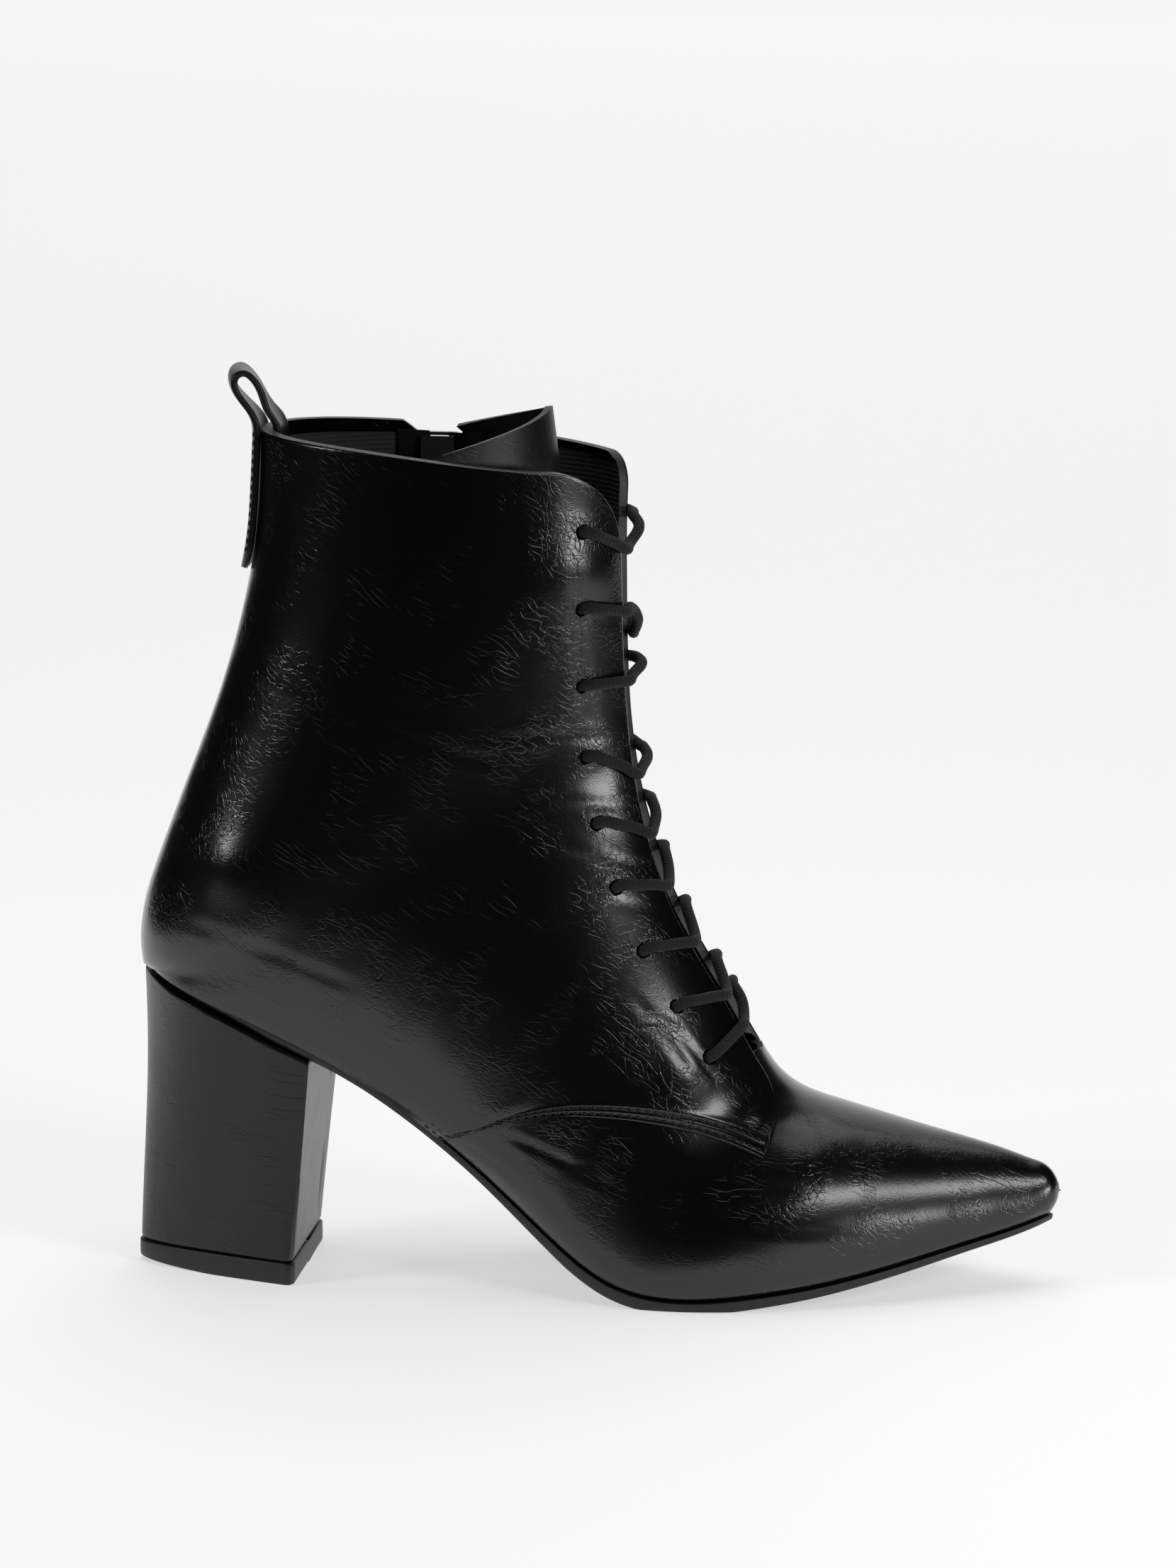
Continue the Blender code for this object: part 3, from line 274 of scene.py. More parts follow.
# A round cord: rings square to the path; turnCos, turnSin and along carry the braid.
def addTube(name, path, radius, material, around=12, body="boot"):
    path = np.asarray(path, float)
    along = np.concatenate([[0], np.cumsum(np.linalg.norm(np.diff(path, axis=0), axis=1))])
    tangent = np.gradient(path, axis=0)
    tangent /= np.linalg.norm(tangent, axis=1, keepdims=True)
    side = np.cross(tangent[0], [0.0, 0.0, 1.0])
    frames = []
    for t in tangent:  # carried along without twist
        side = side - t * (side @ t)
        side = side / np.linalg.norm(side)
        frames.append(side)
    frames = np.array(frames)
    other = np.cross(tangent, frames)
    turn = np.linspace(0, 2 * math.pi, around, endpoint=False)
    radius = np.broadcast_to(radius, len(path))[:, None, None]
    rings = path[:, None] + radius * (np.cos(turn)[None, :, None] * frames[:, None]
                                      + np.sin(turn)[None, :, None] * other[:, None])
    rows = len(path) + 2
    firstCap, lastCap = np.repeat(path[:1, None], around, 1), np.repeat(path[-1:, None], around, 1)
    rings = np.concatenate([firstCap, rings, lastCap])
    values = {"turnCos": np.tile(np.cos(turn), (rows, 1)), "turnSin": np.tile(np.sin(turn), (rows, 1)),
              "along": np.repeat(np.concatenate([along[:1], along, along[-1:]]), around)}
    faces = gridFaces(rows, around, around=True)[:, ::-1]
    return addMesh(name, rings, faces, [material], values=values, body=body)


# A spline through the points by length, cut into equal steps.
def resample(path, spacing):
    path = np.asarray(path, float)
    along = np.concatenate([[0], np.cumsum(np.linalg.norm(np.diff(path, axis=0), axis=1))])
    fine = np.linspace(0, along[-1], 40 * len(path))
    smooth = np.stack([splineThrough(along, path[:, k])(fine) for k in range(3)], axis=1)
    far = np.concatenate([[0], np.cumsum(np.linalg.norm(np.diff(smooth, axis=0), axis=1))])
    at = np.linspace(0, far[-1], max(int(round(far[-1] / spacing)), 2) + 1)
    return np.stack([np.interp(at, far, smooth[:, k]) for k in range(3)], axis=1)


# Rows of stitches: each a capsule, length times cos along and a half ellipse over the leather.
def stitchPoints(path, normals, pitch=2.3, length=1.75, width=0.5, sink=0.05):
    along = np.concatenate([[0], np.cumsum(np.linalg.norm(np.diff(path, axis=0), axis=1))])
    at = np.arange(pitch / 2, along[-1], pitch)
    center = np.stack([np.interp(at, along, path[:, k]) for k in range(3)], axis=1)
    ahead = np.stack([np.interp(at + 0.3, along, path[:, k]) - np.interp(at - 0.3, along, path[:, k])
                      for k in range(3)], axis=1)
    ahead /= np.linalg.norm(ahead, axis=1, keepdims=True)
    up = np.stack([np.interp(at, along, normals[:, k]) for k in range(3)], axis=1)
    up /= np.linalg.norm(up, axis=1, keepdims=True)
    across = np.cross(up, ahead)
    t = np.linspace(-1, 1, 9)
    turn = np.linspace(0, 2 * math.pi, 8, endpoint=False)
    fat = np.sqrt(1 - np.abs(t) ** 2.6) * width / 2
    local = np.stack([np.broadcast_to(t[:, None] * length / 2, (9, 8)), fat[:, None] * np.cos(turn),
                      fat[:, None] * np.sin(turn) * 0.8 + 0.12 * (1 - t[:, None] ** 2) - sink], axis=-1)
    return (center[:, None, None] + local[None, ..., :1] * ahead[:, None, None]
            + local[None, ..., 1:2] * across[:, None, None] + local[None, ..., 2:] * up[:, None, None])


# All stitches in one mesh: each is a small tube of 9 rings of 8 points.
def addStitches(name, rows, material):
    points = np.concatenate(rows).reshape(-1, 3)
    count = len(points) // 72
    faces = gridFaces(9, 8, around=True)[:, ::-1][None] + 72 * np.arange(count)[:, None, None]
    return addMesh(name, points, faces.reshape(-1, 4), [material])


# sRGB hex to linear colour.
def rgba(hexCode):
    srgb = np.array([int(hexCode[k:k + 2], 16) for k in (1, 3, 5)]) / 255
    linear = np.where(srgb <= 0.04045, srgb / 12.92, ((srgb + 0.055) / 1.055) ** 2.4)
    return (*linear.tolist(), 1.0)


# A new material and its shader.
def newMaterial(name):
    made = bpy.data.materials.new(name)
    made.use_nodes = True
    return made, made.node_tree.nodes["Principled BSDF"]


# Adds one node, sets its properties and its inputs; an input given as a socket is linked.
def node(material, kind, settings=None, **inputs):
    tree = material.node_tree
    made = tree.nodes.new(kind)
    for key, value in (settings or {}).items():
        setattr(made, key, value)
    for key, value in inputs.items():
        name = key.replace("_", " ")
        socket = made.inputs[int(name[1:])] if name[0] == "i" and name[1:].isdigit() else made.inputs[name]
        if isinstance(value, bpy.types.NodeSocket):
            tree.links.new(value, socket)
        else:
            socket.default_value = value
    return made


# Sets or links inputs on the shader itself.
def setShader(material, shader, **inputs):
    for key, value in inputs.items():
        socket = shader.inputs[key.replace("_", " ")]
        if isinstance(value, bpy.types.NodeSocket):
            material.node_tree.links.new(value, socket)
        else:
            socket.default_value = value


# Wrinkled leather: thin valley lines where a stretched noise passes its middle, one family for each
# direction; the attributes level, falling and steep say how strongly each family shows, a wide noise
# breaks them up.
def wrinkledLeather(name, color, roughness, lineMm, depthMm, stretch=4.0, coat=0.0):
    material, shader = newMaterial(name)
    place = node(material, "ShaderNodeTexCoord").outputs["Object"]
    wide = node(material, "ShaderNodeTexNoise", {}, Vector=place, Scale=90.0, Detail=0.0).outputs["Fac"]
    broken = node(material, "ShaderNodeMapRange", {}, Value=wide, i1=0.38, i2=0.62, i3=0.15, i4=1.0)
    total = node(material, "ShaderNodeTexNoise", {}, Vector=place, Scale=2600.0, Detail=0.0).outputs["Fac"]
    total = node(material, "ShaderNodeMath", {"operation": "MULTIPLY"}, i0=total, i1=0.2).outputs["Value"]
    total = node(material, "ShaderNodeMath", {"operation": "MULTIPLY_ADD"}, i0=wide, i1=1.1, i2=total)
    total = total.outputs["Value"]
    for attribute, turn in (("level", 5.0), ("falling", 38.0), ("steep", 78.0)):
        amount = node(material, "ShaderNodeAttribute", {"attribute_name": attribute}).outputs["Fac"]
        turned = node(material, "ShaderNodeMapping", {"vector_type": "TEXTURE"}, Vector=place,
                      Rotation=(0.0, math.radians(turn), 0.0), Scale=(stretch, 1.0, 1.0))
        noise = node(material, "ShaderNodeTexNoise", {}, Vector=turned.outputs["Vector"],
                     Scale=1000.0 / lineMm, Detail=0.0)
        off = node(material, "ShaderNodeMath", {"operation": "SUBTRACT"}, i0=noise.outputs["Fac"], i1=0.5)
        away = node(material, "ShaderNodeMath", {"operation": "ABSOLUTE"}, i0=off.outputs["Value"])
        line = node(material, "ShaderNodeMapRange", {"interpolation_type": "SMOOTHSTEP"},
                    Value=away.outputs["Value"], i1=0.0, i2=0.04, i3=0.0, i4=1.0)
        weight = node(material, "ShaderNodeMath", {"operation": "MULTIPLY"}, i0=amount,
                      i1=broken.outputs["Result"])
        total = node(material, "ShaderNodeMath", {"operation": "MULTIPLY_ADD"}, i0=line.outputs["Result"],
                     i1=weight.outputs["Value"], i2=total).outputs["Value"]
    bump = node(material, "ShaderNodeBump", {}, Strength=1.0, Distance=depthMm * 0.001, Height=total)
    setShader(material, shader, Base_Color=rgba(color), Roughness=roughness, IOR=1.46, Coat_Weight=coat,
              Coat_Roughness=0.8 * roughness, Coat_Normal=bump.outputs["Normal"],
              Normal=bump.outputs["Normal"])
    return material


# A plain surface with fine noise: satin rubber, cut edges whose paler colour is a painted highlight, thread.
def plainSurface(name, color, roughness, grainMm, depthMm, metallic=0.0, stretch=(1.0, 1.0, 1.0), coat=0.0):
    material, shader = newMaterial(name)
    place = node(material, "ShaderNodeTexCoord").outputs["Object"]
    scaled = node(material, "ShaderNodeMapping", {}, Vector=place, Scale=stretch)
    grain = node(material, "ShaderNodeTexNoise", {}, Vector=scaled.outputs["Vector"], Scale=1000.0 / grainMm,
                 Detail=3.0)
    bump = node(material, "ShaderNodeBump", {}, Strength=1.0, Distance=depthMm * 0.001,
                Height=grain.outputs["Fac"])
    setShader(material, shader, Base_Color=rgba(color), Roughness=roughness, Metallic=metallic,
              Coat_Weight=coat, Normal=bump.outputs["Normal"])
    return material


# Cotton braid: two families of threads wind round the cord; fuzz by noise.
def braidCord(name, color):
    material, shader = newMaterial(name)
    turnSin = node(material, "ShaderNodeAttribute", {"attribute_name": "turnSin"}).outputs["Fac"]
    turnCos = node(material, "ShaderNodeAttribute", {"attribute_name": "turnCos"}).outputs["Fac"]
    turn = node(material, "ShaderNodeMath", {"operation": "ARCTAN2"}, i0=turnSin, i1=turnCos).outputs["Value"]
    along = node(material, "ShaderNodeAttribute", {"attribute_name": "along"}).outputs["Fac"]
    waves = []
    for way in (3.0, -3.0):
        phase = node(material, "ShaderNodeMath", {"operation": "MULTIPLY"}, i0=turn, i1=way)
        total = node(material, "ShaderNodeMath", {"operation": "MULTIPLY_ADD"}, i0=along, i1=4.6,
                     i2=phase.outputs["Value"])
        wave = node(material, "ShaderNodeMath", {"operation": "SINE"}, i0=total.outputs["Value"])
        waves.append(wave.outputs["Value"])
    braid = node(material, "ShaderNodeMath", {"operation": "MAXIMUM"}, i0=waves[0], i1=waves[1])
    place = node(material, "ShaderNodeTexCoord").outputs["Object"]
    fuzz = node(material, "ShaderNodeTexNoise", {}, Vector=place, Scale=2200.0, Detail=3.0)
    height = node(material, "ShaderNodeMath", {"operation": "MULTIPLY_ADD"}, i0=fuzz.outputs["Fac"], i1=2.0,
                  i2=braid.outputs["Value"])
    bump = node(material, "ShaderNodeBump", {}, Strength=1.0, Distance=0.00007,
                Height=height.outputs["Value"])
    setShader(material, shader, Base_Color=rgba(color), Roughness=0.85, Specular_IOR_Level=0.25,
              Sheen_Weight=0.12, Sheen_Roughness=0.5, Normal=bump.outputs["Normal"])
    return material


# Knitted lining: fine level ribs.
def knitLining(name, color):
    material, shader = newMaterial(name)
    place = node(material, "ShaderNodeTexCoord").outputs["Object"]
    ribsNode = node(material, "ShaderNodeTexWave", {"wave_type": "BANDS", "bands_direction": "Z"},
                    Vector=place, Scale=260.0, Distortion=1.5, Detail=2.0, Detail_Scale=4.0)
    bump = node(material, "ShaderNodeBump", {}, Strength=1.0, Distance=0.0003, Height=ribsNode.outputs["Fac"])
    setShader(material, shader, Base_Color=rgba(color), Roughness=0.95, Specular_IOR_Level=0.2,
              Sheen_Weight=0.3, Normal=bump.outputs["Normal"])
    return material


# Coated leather, pressed and creased: a deep black gloss with thin broken glints.
leather = wrinkledLeather("wrinkled glossy leather", "#090909", 0.23, 1.7, 0.05, 3.2, 0.45)
# The same leather uncoated: a softer, wider sheen.
tongueLeather = wrinkledLeather("tongue leather", "#101011", 0.4, 2.6, 0.05)
# Leather stretched over the block: satin, with short level creases.
heelLeather = wrinkledLeather("heel cover leather", "#0d0d0e", 0.34, 2.4, 0.055, 5.0)
# A folded leather strap: smooth satin.
strapLeather = wrinkledLeather("pull strap leather", "#101011", 0.34, 2.4, 0.03)
# Cut leather edges: their paler colour is a painted highlight, the thin line of light along the rounded edge.
cutEdgeHighlight = plainSurface("cut edge with painted highlight", "#3a3836", 0.45, 0.5, 0.05)
# A raw cut edge: dull, brownish, a little rough.
strapEdge = plainSurface("raw strap edge", "#1d1816", 0.7, 0.4, 0.12)
# Ribbed polyester knit: dull grey with fine level ribs.
knit = knitLining("knitted lining", "#4f4f50")
# Moulded rubber: smooth satin black.
soleRubber = plainSurface("satin sole rubber", "#101011", 0.4, 0.8, 0.02)
# Hard moulded rubber: dull dark grey.
tipRubber = plainSurface("heel tip rubber", "#1c1c1d", 0.45, 0.6, 0.04)
# Brushed cloth on board: matte black.
insoleCloth = plainSurface("insole cloth", "#1a1a1a", 0.9, 0.5, 0.1)
# Waxed cotton braid: matte with a fine slanting weave.
cotton = braidCord("waxed cotton braid", "#29282c")
# Bonded polyester thread: small bright glints on black.
thread = plainSurface("black thread", "#111111", 0.3, 0.2, 0.04, stretch=(1.0, 1.0, 3.0))
# Woven polyester tape: matte black.
zipTape = plainSurface("zip tape", "#121213", 0.9, 0.45, 0.15)
# Nylon coil: smooth, slightly glossy.
zipNylon = plainSurface("zip coil nylon", "#18181a", 0.4, 0.5, 0.02)
# Polished nickel-plated steel: clear reflections.
steel = plainSurface("polished steel", "#b9b7b2", 0.16, 0.8, 0.01, metallic=1.0)
print("materials made")


quarter = {
    "columns": 86, "roll": 0.55, "overVamp": 0.06, "tuck": 4.5, "binding": 2.2, "bindingThick": 0.4,
    "zipX": -45.0, "slotHalf": 2.5, "slotEnd": 11.3, "mouth": 7.0, "mouthEnd": 0.45, "zipColumns": (34, 62),
    "collarBow": 1.2, "collarPitch": 16.0, "stitchRows": (1.6, 4.2), "groove": 0.3, "puff": 0.22,
}


# Distances of a panel's columns from its first edge to its last; close together at the edges and at the
# seam's rows.
def panelColumns(start, stop, count, seam=True):
    length = (stop - start)[:, None]
    close = np.array([0.0, 0.12, 0.35, 0.8]) * np.clip(length / 9, 0.02, 1)
    ending = close[:, ::-1]
    if seam:
        steps = np.array([5.6, 5.0, 4.6, 4.35, 4.2, 4.05, 3.8, 3.4, 2.9, 2.4, 2.0, 1.75, 1.6, 1.45, 1.2, 0.8,
                          0.4, 0.15, 0.0])
        ending = steps * np.clip(length / 14, 0.02, 1)
    rest = count - close.shape[1] - ending.shape[1] + 2
    middle = close[:, -1:] + (length - ending[:, :1] - close[:, -1:]) * np.linspace(0, 1, rest)[None, 1:-1]
    return start[:, None] + np.concatenate([close, middle, length - ending], axis=1)


# The double seam: a groove under each row of stitches, leather puffed up between and beside them.
def seamRelief(fromSeam):
    first, second = quarter["stitchRows"]
    pulled = np.exp(-((fromSeam - first) / 0.4) ** 2) + np.exp(-((fromSeam - second) / 0.4) ** 2)
    puffed = np.exp(-((fromSeam - (first + second) / 2) / 0.85) ** 2)
    puffed = puffed + 0.5 * np.exp(-((fromSeam - 5.3) / 0.8) ** 2)
    return quarter["puff"] * puffed - quarter["groove"] * pulled


# Height lost at a rounded edge: a quarter circle of the given radius.
def rolled(fromEdge, radius):
    return radius - np.sqrt(radius**2 - (radius - np.clip(fromEdge, 0, radius)) ** 2)


# Where the zip's line crosses each rib, and half the width of the slot.
def zipLine(stations):
    start, stop = facingEdge(stations, inner), edgesOf(stations, inner)[1]
    points, far = ribs(stations, inner)
    line = np.array([np.interp(-quarter["zipX"], -p[:, 0], f) for p, f in zip(points, far)])
    lowest = np.array([12.3])
    lowPoints, lowFar = ribs(lowest, inner)
    lowStart, lowStop = facingEdge(lowest, inner)[0], edgesOf(lowest, inner)[1][0]
    share = (np.interp(-quarter["zipX"], -lowPoints[0, :, 0], lowFar[0]) - lowStart) / (lowStop - lowStart)
    line = np.where(stations <= 12.3, line, start + share * (stop - start))
    flare = quarter["mouth"] * np.maximum(1 - stations / quarter["mouthEnd"], 0) ** 2
    open_ = 1 - smoothStep(quarter["slotEnd"], quarter["slotEnd"] + 0.15, stations)
    return line, (quarter["slotHalf"] + flare) * open_ + 0.06


# Creases: each line is x1 z1 x2 z2 bow width depth; a bell-shaped trough across it, low ridges beside it,
# faded ends.
def troughs(points, lines):
    total = np.zeros(points.shape[:-1])
    for x1, z1, x2, z2, bow, width, depth in lines:
        a, b = np.array([x1, z1]), np.array([x2, z2])
        along = (b - a) / np.linalg.norm(b - a)
        local = points[..., [0, 2]] - a
        t = local @ along / np.linalg.norm(b - a)
        off = local @ np.array([-along[1], along[0]]) - bow * 4 * t * (1 - t)
        fade = smoothStep(-0.12, 0.15, t) * smoothStep(-0.12, 0.15, 1 - t)
        ridges = 0.45 * np.exp(-((np.abs(off) - 1.9 * width) / width) ** 2)
        total += fade * depth * (ridges - np.exp(-(off / width) ** 2))
    return total


# Soft round hills, bell-shaped: each spot is x z radiusX radiusZ height.
def hillsOn(points, spots):
    total = np.zeros(points.shape[:-1])
    for x, z, radiusX, radiusZ, height in spots:
        acrossX, acrossZ = (points[..., 0] - x) / radiusX, (points[..., 2] - z) / radiusZ
        total += height * np.exp(-acrossX ** 2 - acrossZ ** 2)
    return total


# Bell-shaped mean over the rows close by, mixed in where the weight says; it takes a kink across the rows
# away.
def easedRows(values, rows, weight):
    bell = np.exp(-((rows[:, None] - rows) / 1.0) ** 2)
    mean = np.einsum("ij,jkl->ikl", bell / bell.sum(1, keepdims=True), values)
    return values + weight[..., None] * (mean - values)


# Soft leaning ellipses, the strongest one counts: each spot is x z radiusX radiusZ lean amount.
def patches(points, spots):
    total = np.zeros(points.shape[:-1])
    for x, z, radiusX, radiusZ, lean, amount in spots:
        dx, dz = points[..., 0] - x, points[..., 2] - z
        c, s = math.cos(math.radians(lean)), math.sin(math.radians(lean))
        reach = np.hypot((dx * c + dz * s) / radiusX, (dz * c - dx * s) / radiusZ)
        total = np.maximum(total, amount * (1 - smoothStep(0.1, 1.2, reach)))
    return total


# Where the fine wrinkles show: x, z, radius along x and z, lean in degrees, then level, falling and steep
# lines.
wrinkles = {
    "base": (0.2, 0.36, 0.2),
    outer: [
        (-5, 197, 20, 14, -10, 0.35, 0.9, 0.35), (-2, 168, 9, 34, 0, 0.2, 0.5, 0.6),
        (-15, 170, 15, 22, -40, 0.2, 0.8, 0.3), (-9, 144, 22, 9, 0, 0.9, 0.3, 0.2),
        (1, 113, 20, 24, -15, 0.8, 0.5, 0.2), (16, 84, 16, 20, -30, 0.5, 0.8, 0.5),
        (22, 62, 20, 18, -30, 0.4, 0.9, 0.9), (-66, 172, 28, 38, -30, 0.1, 0.6, 0.2),
        (-92, 118, 13, 18, -20, 0.6, 0.8, 0.8), (-82, 88, 34, 11, -18, 0.4, 0.7, 0.2),
        (-50, 80, 30, 14, -25, 0.2, 0.5, 0.2), (0, 44, 40, 10, -5, 0.6, 0.8, 0.5),
        (40, 30, 34, 10, -5, 0.9, 0.5, 0.3), (52, 46, 14, 10, -20, 0.7, 0.5, 0.1),
        (66, 33, 44, 14, -8, 0.6, 0.55, 0.6),
    ],
    inner: [
        (-5, 195, 20, 14, 0, 0.8, 0.8, 0.7), (-2, 165, 8, 28, 0, 0.2, 0.4, 0.9),
        (-9, 142, 22, 10, 0, 0.9, 0.3, 0.2), (1, 113, 20, 24, -15, 0.8, 0.5, 0.2),
        (22, 62, 20, 18, -30, 0.4, 0.9, 0.9), (-92, 112, 14, 22, -20, 0.6, 0.8, 0.8),
        (-80, 88, 34, 11, -18, 0.4, 0.7, 0.2), (0, 42, 40, 10, -5, 0.6, 0.8, 0.5),
        (40, 30, 34, 10, -5, 0.9, 0.5, 0.3),
    ],
}
# The main creases in the leather: x1 z1 x2 z2 bow width depth.
creases = {
    outer: [
        (-83, 192, -55, 184, 0.6, 1.3, 0.12), (-78, 205, -68, 193, 0.5, 1.2, 0.1),
        (-88, 161, -71, 153, 0.4, 1.3, 0.12), (-87, 174, -74, 157, 0.6, 1.3, 0.1),
        (-67, 169, -55, 151, 0.5, 1.3, 0.1), (-52, 150, -24, 140, -0.8, 1.4, 0.14),
        (-16, 183, -3, 171, 0.4, 1.2, 0.14), (-24, 170, -9, 154, 0.5, 1.2, 0.14),
        (-22, 147, 4, 144, 0.4, 1.1, 0.12), (-14, 130, 12, 125, 0.6, 1.2, 0.12),
        (-8, 118, 16, 108, 0.8, 1.2, 0.14), (0, 104, 18, 98, 0.4, 1.1, 0.1),
        (-4, 190, -1, 146, -0.8, 1.2, 0.16), (12, 78, 26, 58, 0.6, 1.1, 0.16),
        (18, 74, 32, 56, 0.5, 1.0, 0.14), (6, 70, 20, 52, 0.5, 1.1, 0.12),
        (-90, 128, -78, 112, 0.5, 1.1, 0.12), (-78, 118, -72, 116, 0.2, 1.0, 0.1),
        (-104, 96, -60, 82, 1.0, 1.6, 0.1),
    ],
    inner: [
        (-90, 150, -70, 140, 0.6, 1.3, 0.12), (-30, 150, -4, 142, 0.6, 1.2, 0.12),
        (-8, 118, 16, 108, 0.8, 1.2, 0.14), (12, 78, 26, 58, 0.6, 1.1, 0.16),
        (-4, 190, -1, 146, -0.8, 1.2, 0.16), (-90, 126, -74, 110, 0.5, 1.2, 0.12),
    ],
}

# Places where the leather stands out: x z radiusX radiusZ height.
hills = {
    outer: [
        (-92.0, 111.0, 8.0, 8.5, 1.2), (-4.0, 188.0, 11.0, 9.0, 1.1), (25.5, 59.5, 7.0, 8.0, 0.85),
        (41.5, 47.6, 3.0, 2.0, 0.45),
    ],
    inner: [(-92.0, 110.0, 10.0, 11.0, 0.7), (-4.0, 187.0, 11.0, 9.0, 0.7)],
}


# The three wrinkle attributes of a panel.
def wrinkleValues(points, side):
    result = []
    for k in range(3):
        spots = [(*spot[:5], spot[5 + k]) for spot in wrinkles[side]]
        result.append(np.maximum(wrinkles["base"][k], patches(points, spots)))
    return result


# Both quarters: the ribs carried along the stations, raised by the step, rolled at each edge, with the
# seam, creases, hills and punched holes added along the normals.
def makeQuarters():
    rows = np.concatenate([0.6 * np.linspace(0, 1, 14)[:-1] ** 2, np.linspace(0.6, 8, 92)[:-1],
                           np.linspace(8, 16, 84)[:-1], np.linspace(16, 17.87, 26)])
    line, slot = zipLine(rows)
    sheets, faces = [], []
    for side in (outer, inner):
        start, (_, stop, end) = facingEdge(rows, side), edgesOf(rows, side)
        if side == outer:
            distances = panelColumns(start, stop, quarter["columns"])
            fromSlot = np.full(distances.shape, 9.0)
        else:
            distances = np.concatenate([panelColumns(start, line - slot, quarter["zipColumns"][0], False),
                                        panelColumns(line + slot, stop, quarter["zipColumns"][1])], axis=1)
            fromSlot = np.abs(distances - line[:, None]) - slot[:, None]
            fromSlot = np.where(rows[:, None] < quarter["slotEnd"], fromSlot, 9.0)
        base = onSurface(rows, side, distances)
        normal = outwards(rows, side, distances)
        byCorner = np.exp(-((rows - shoe["heelCorner"]) / 2.2) ** 2)[:, None]
        byCorner = byCorner * smoothStep(1, 16, end[:, None] - distances)
        base, normal = easedRows(base, rows, byCorner), easedRows(normal, rows, byCorner)
        # the lower edge stays level
        flat = smoothStep(-5, 0, distances - end[:, None]) * (normal[..., 2] < 0)
        normal[..., 2] *= 1 - flat
        normal /= np.maximum(np.linalg.norm(normal, axis=-1, keepdims=True), 1e-9)
        seamed = stop < end - 0.05
        edge = np.minimum(distances - start[:, None], fromSlot)
        edge = np.where(seamed[:, None], np.minimum(edge, stop[:, None] - distances), edge)
        belowCollar = quarter["collarPitch"] * rows[:, None] * np.ones_like(distances)
        edge = np.minimum(edge, belowCollar)
        height = shoe["quarterStep"] - rolled(np.maximum(edge, 0), quarter["roll"])
        height = height + (troughs(base, creases[side]) + hillsOn(base, hills[side])) * smoothStep(0, 6, edge)
        relief = seamRelief(stop[:, None] - distances) * smoothStep(0.3, 2, distances - start[:, None])
        height = height + seamed[:, None] * relief
        overVamp = np.maximum(smoothStep(15.7, 15.85, rows)[:, None] * np.ones_like(distances),
                              seamed[:, None] * (1 - smoothStep(quarter["tuck"], quarter["tuck"] + 1.5,
                                                                stop[:, None] - distances)))
        bound = 1 - smoothStep(quarter["binding"], quarter["binding"] + 0.3, belowCollar)
        depth = -(shoe["wall"] + quarter["bindingThick"] * bound) * (1 - overVamp)
        depth = depth + quarter["overVamp"] * overVamp
        depth = np.minimum(depth, height - 0.3)
        amount = wrinkleValues(base, side)
        along = np.clip((distances - start[:, None]) / (stop - start)[:, None], 0, 1)
        bow = quarter["collarBow"] * np.exp(-belowCollar / 6) * np.sin(math.pi * along) ** 2 * (side == outer)
        base[..., 2] += bow
        sheets.append((base, normal, height, depth, *amount))
        first = 0 if side == outer else sheets[0][0].shape[0] * sheets[0][0].shape[1]
        made = gridFaces(*distances.shape, first)
        if side == inner:
            made = made[:, ::-1]
            row, column = np.divmod(np.arange(len(made)), distances.shape[1] - 1)
            made = made[~((column == quarter["zipColumns"][0] - 1) & (rows[row] < quarter["slotEnd"]))]
        faces.append(made)
    base, normal = (np.concatenate([s[k].reshape(-1, 3) for s in sheets]) for k in (0, 1))
    height, depth, *amount = (np.concatenate([s[k].ravel() for s in sheets])[:, None] for k in range(2, 7))
    faces = np.concatenate(faces)
    for side, station, distance in holes:  # punched: faces inside go, their border moves onto the circle
        center = onSurface([station], side, np.array([[distance]]))[0, 0]
        middle = base[faces].mean(1)
        gone = (np.linalg.norm(middle - center, axis=1) < shoe["holeRadius"] - 0.15)
        border = np.intersect1d(faces[gone], faces[~gone])
        away = base[border] - center
        base[border] = center + away * shoe["holeRadius"] / np.linalg.norm(away, axis=1, keepdims=True)
        near = 0.8 * (1 - smoothStep(3, 8, np.linalg.norm(base - center, axis=1)))[:, None]
        amount = [np.maximum(values, near) for values in amount]
        faces = faces[~gone]
    inside = base + normal * depth
    boundFaces = np.isclose(depth[faces].min(1), -shoe["wall"] - quarter["bindingThick"], atol=0.1)[:, 0]
    made = addShell("quarters", base + normal * height, inside, faces, [leather, cutEdgeHighlight, knit],
                    dict(zip(("level", "falling", "steep"), amount)), np.where(boundFaces, 0, 2))
    return made


# Station and distance of each lace hole, found by its height over the floor.
holeHeights = (198.5, 178.6, 158.5, 140.0, 122.7, 106.2, 89.9, 75.5, 62.4)


# Holes lie at a set distance from the throat's edge, at the heights above.
def placeHoles():
    found = []
    stations = np.linspace(0.2, shoe["facingTurn"], 80)
    for side in (outer, inner):
        distances = edgesOf(stations, side)[0] + shoe["holeInset"]
        heights = onSurface(stations, side, distances[:, None])[:, 0, 2]
        for height in holeHeights:
            station = np.interp(-height, -heights, stations)
            found.append((side, station, np.interp(station, stations, distances)))
    return found


holes = placeHoles()
quarters = makeQuarters()
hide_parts("upper")
print("quarters made")

vamp = {"columns": 64, "tuck": 4.0}
vampCreases = {
    outer: [
        (46, 52, 60, 44, 0.4, 1.1, 0.1), (48, 47, 64, 42, 0.4, 1.1, 0.1),
        (20, 38, 56, 30, 1.0, 1.5, 0.14), (30, 26, 64, 20, -0.8, 1.4, 0.12),
        (-20, 44, 10, 30, 0.8, 1.3, 0.12), (-34, 42, -14, 30, 0.5, 1.3, 0.12),
    ],
    inner: [(20, 36, 56, 28, 1.0, 1.5, 0.14), (-20, 42, 10, 28, 0.8, 1.3, 0.12)],
}


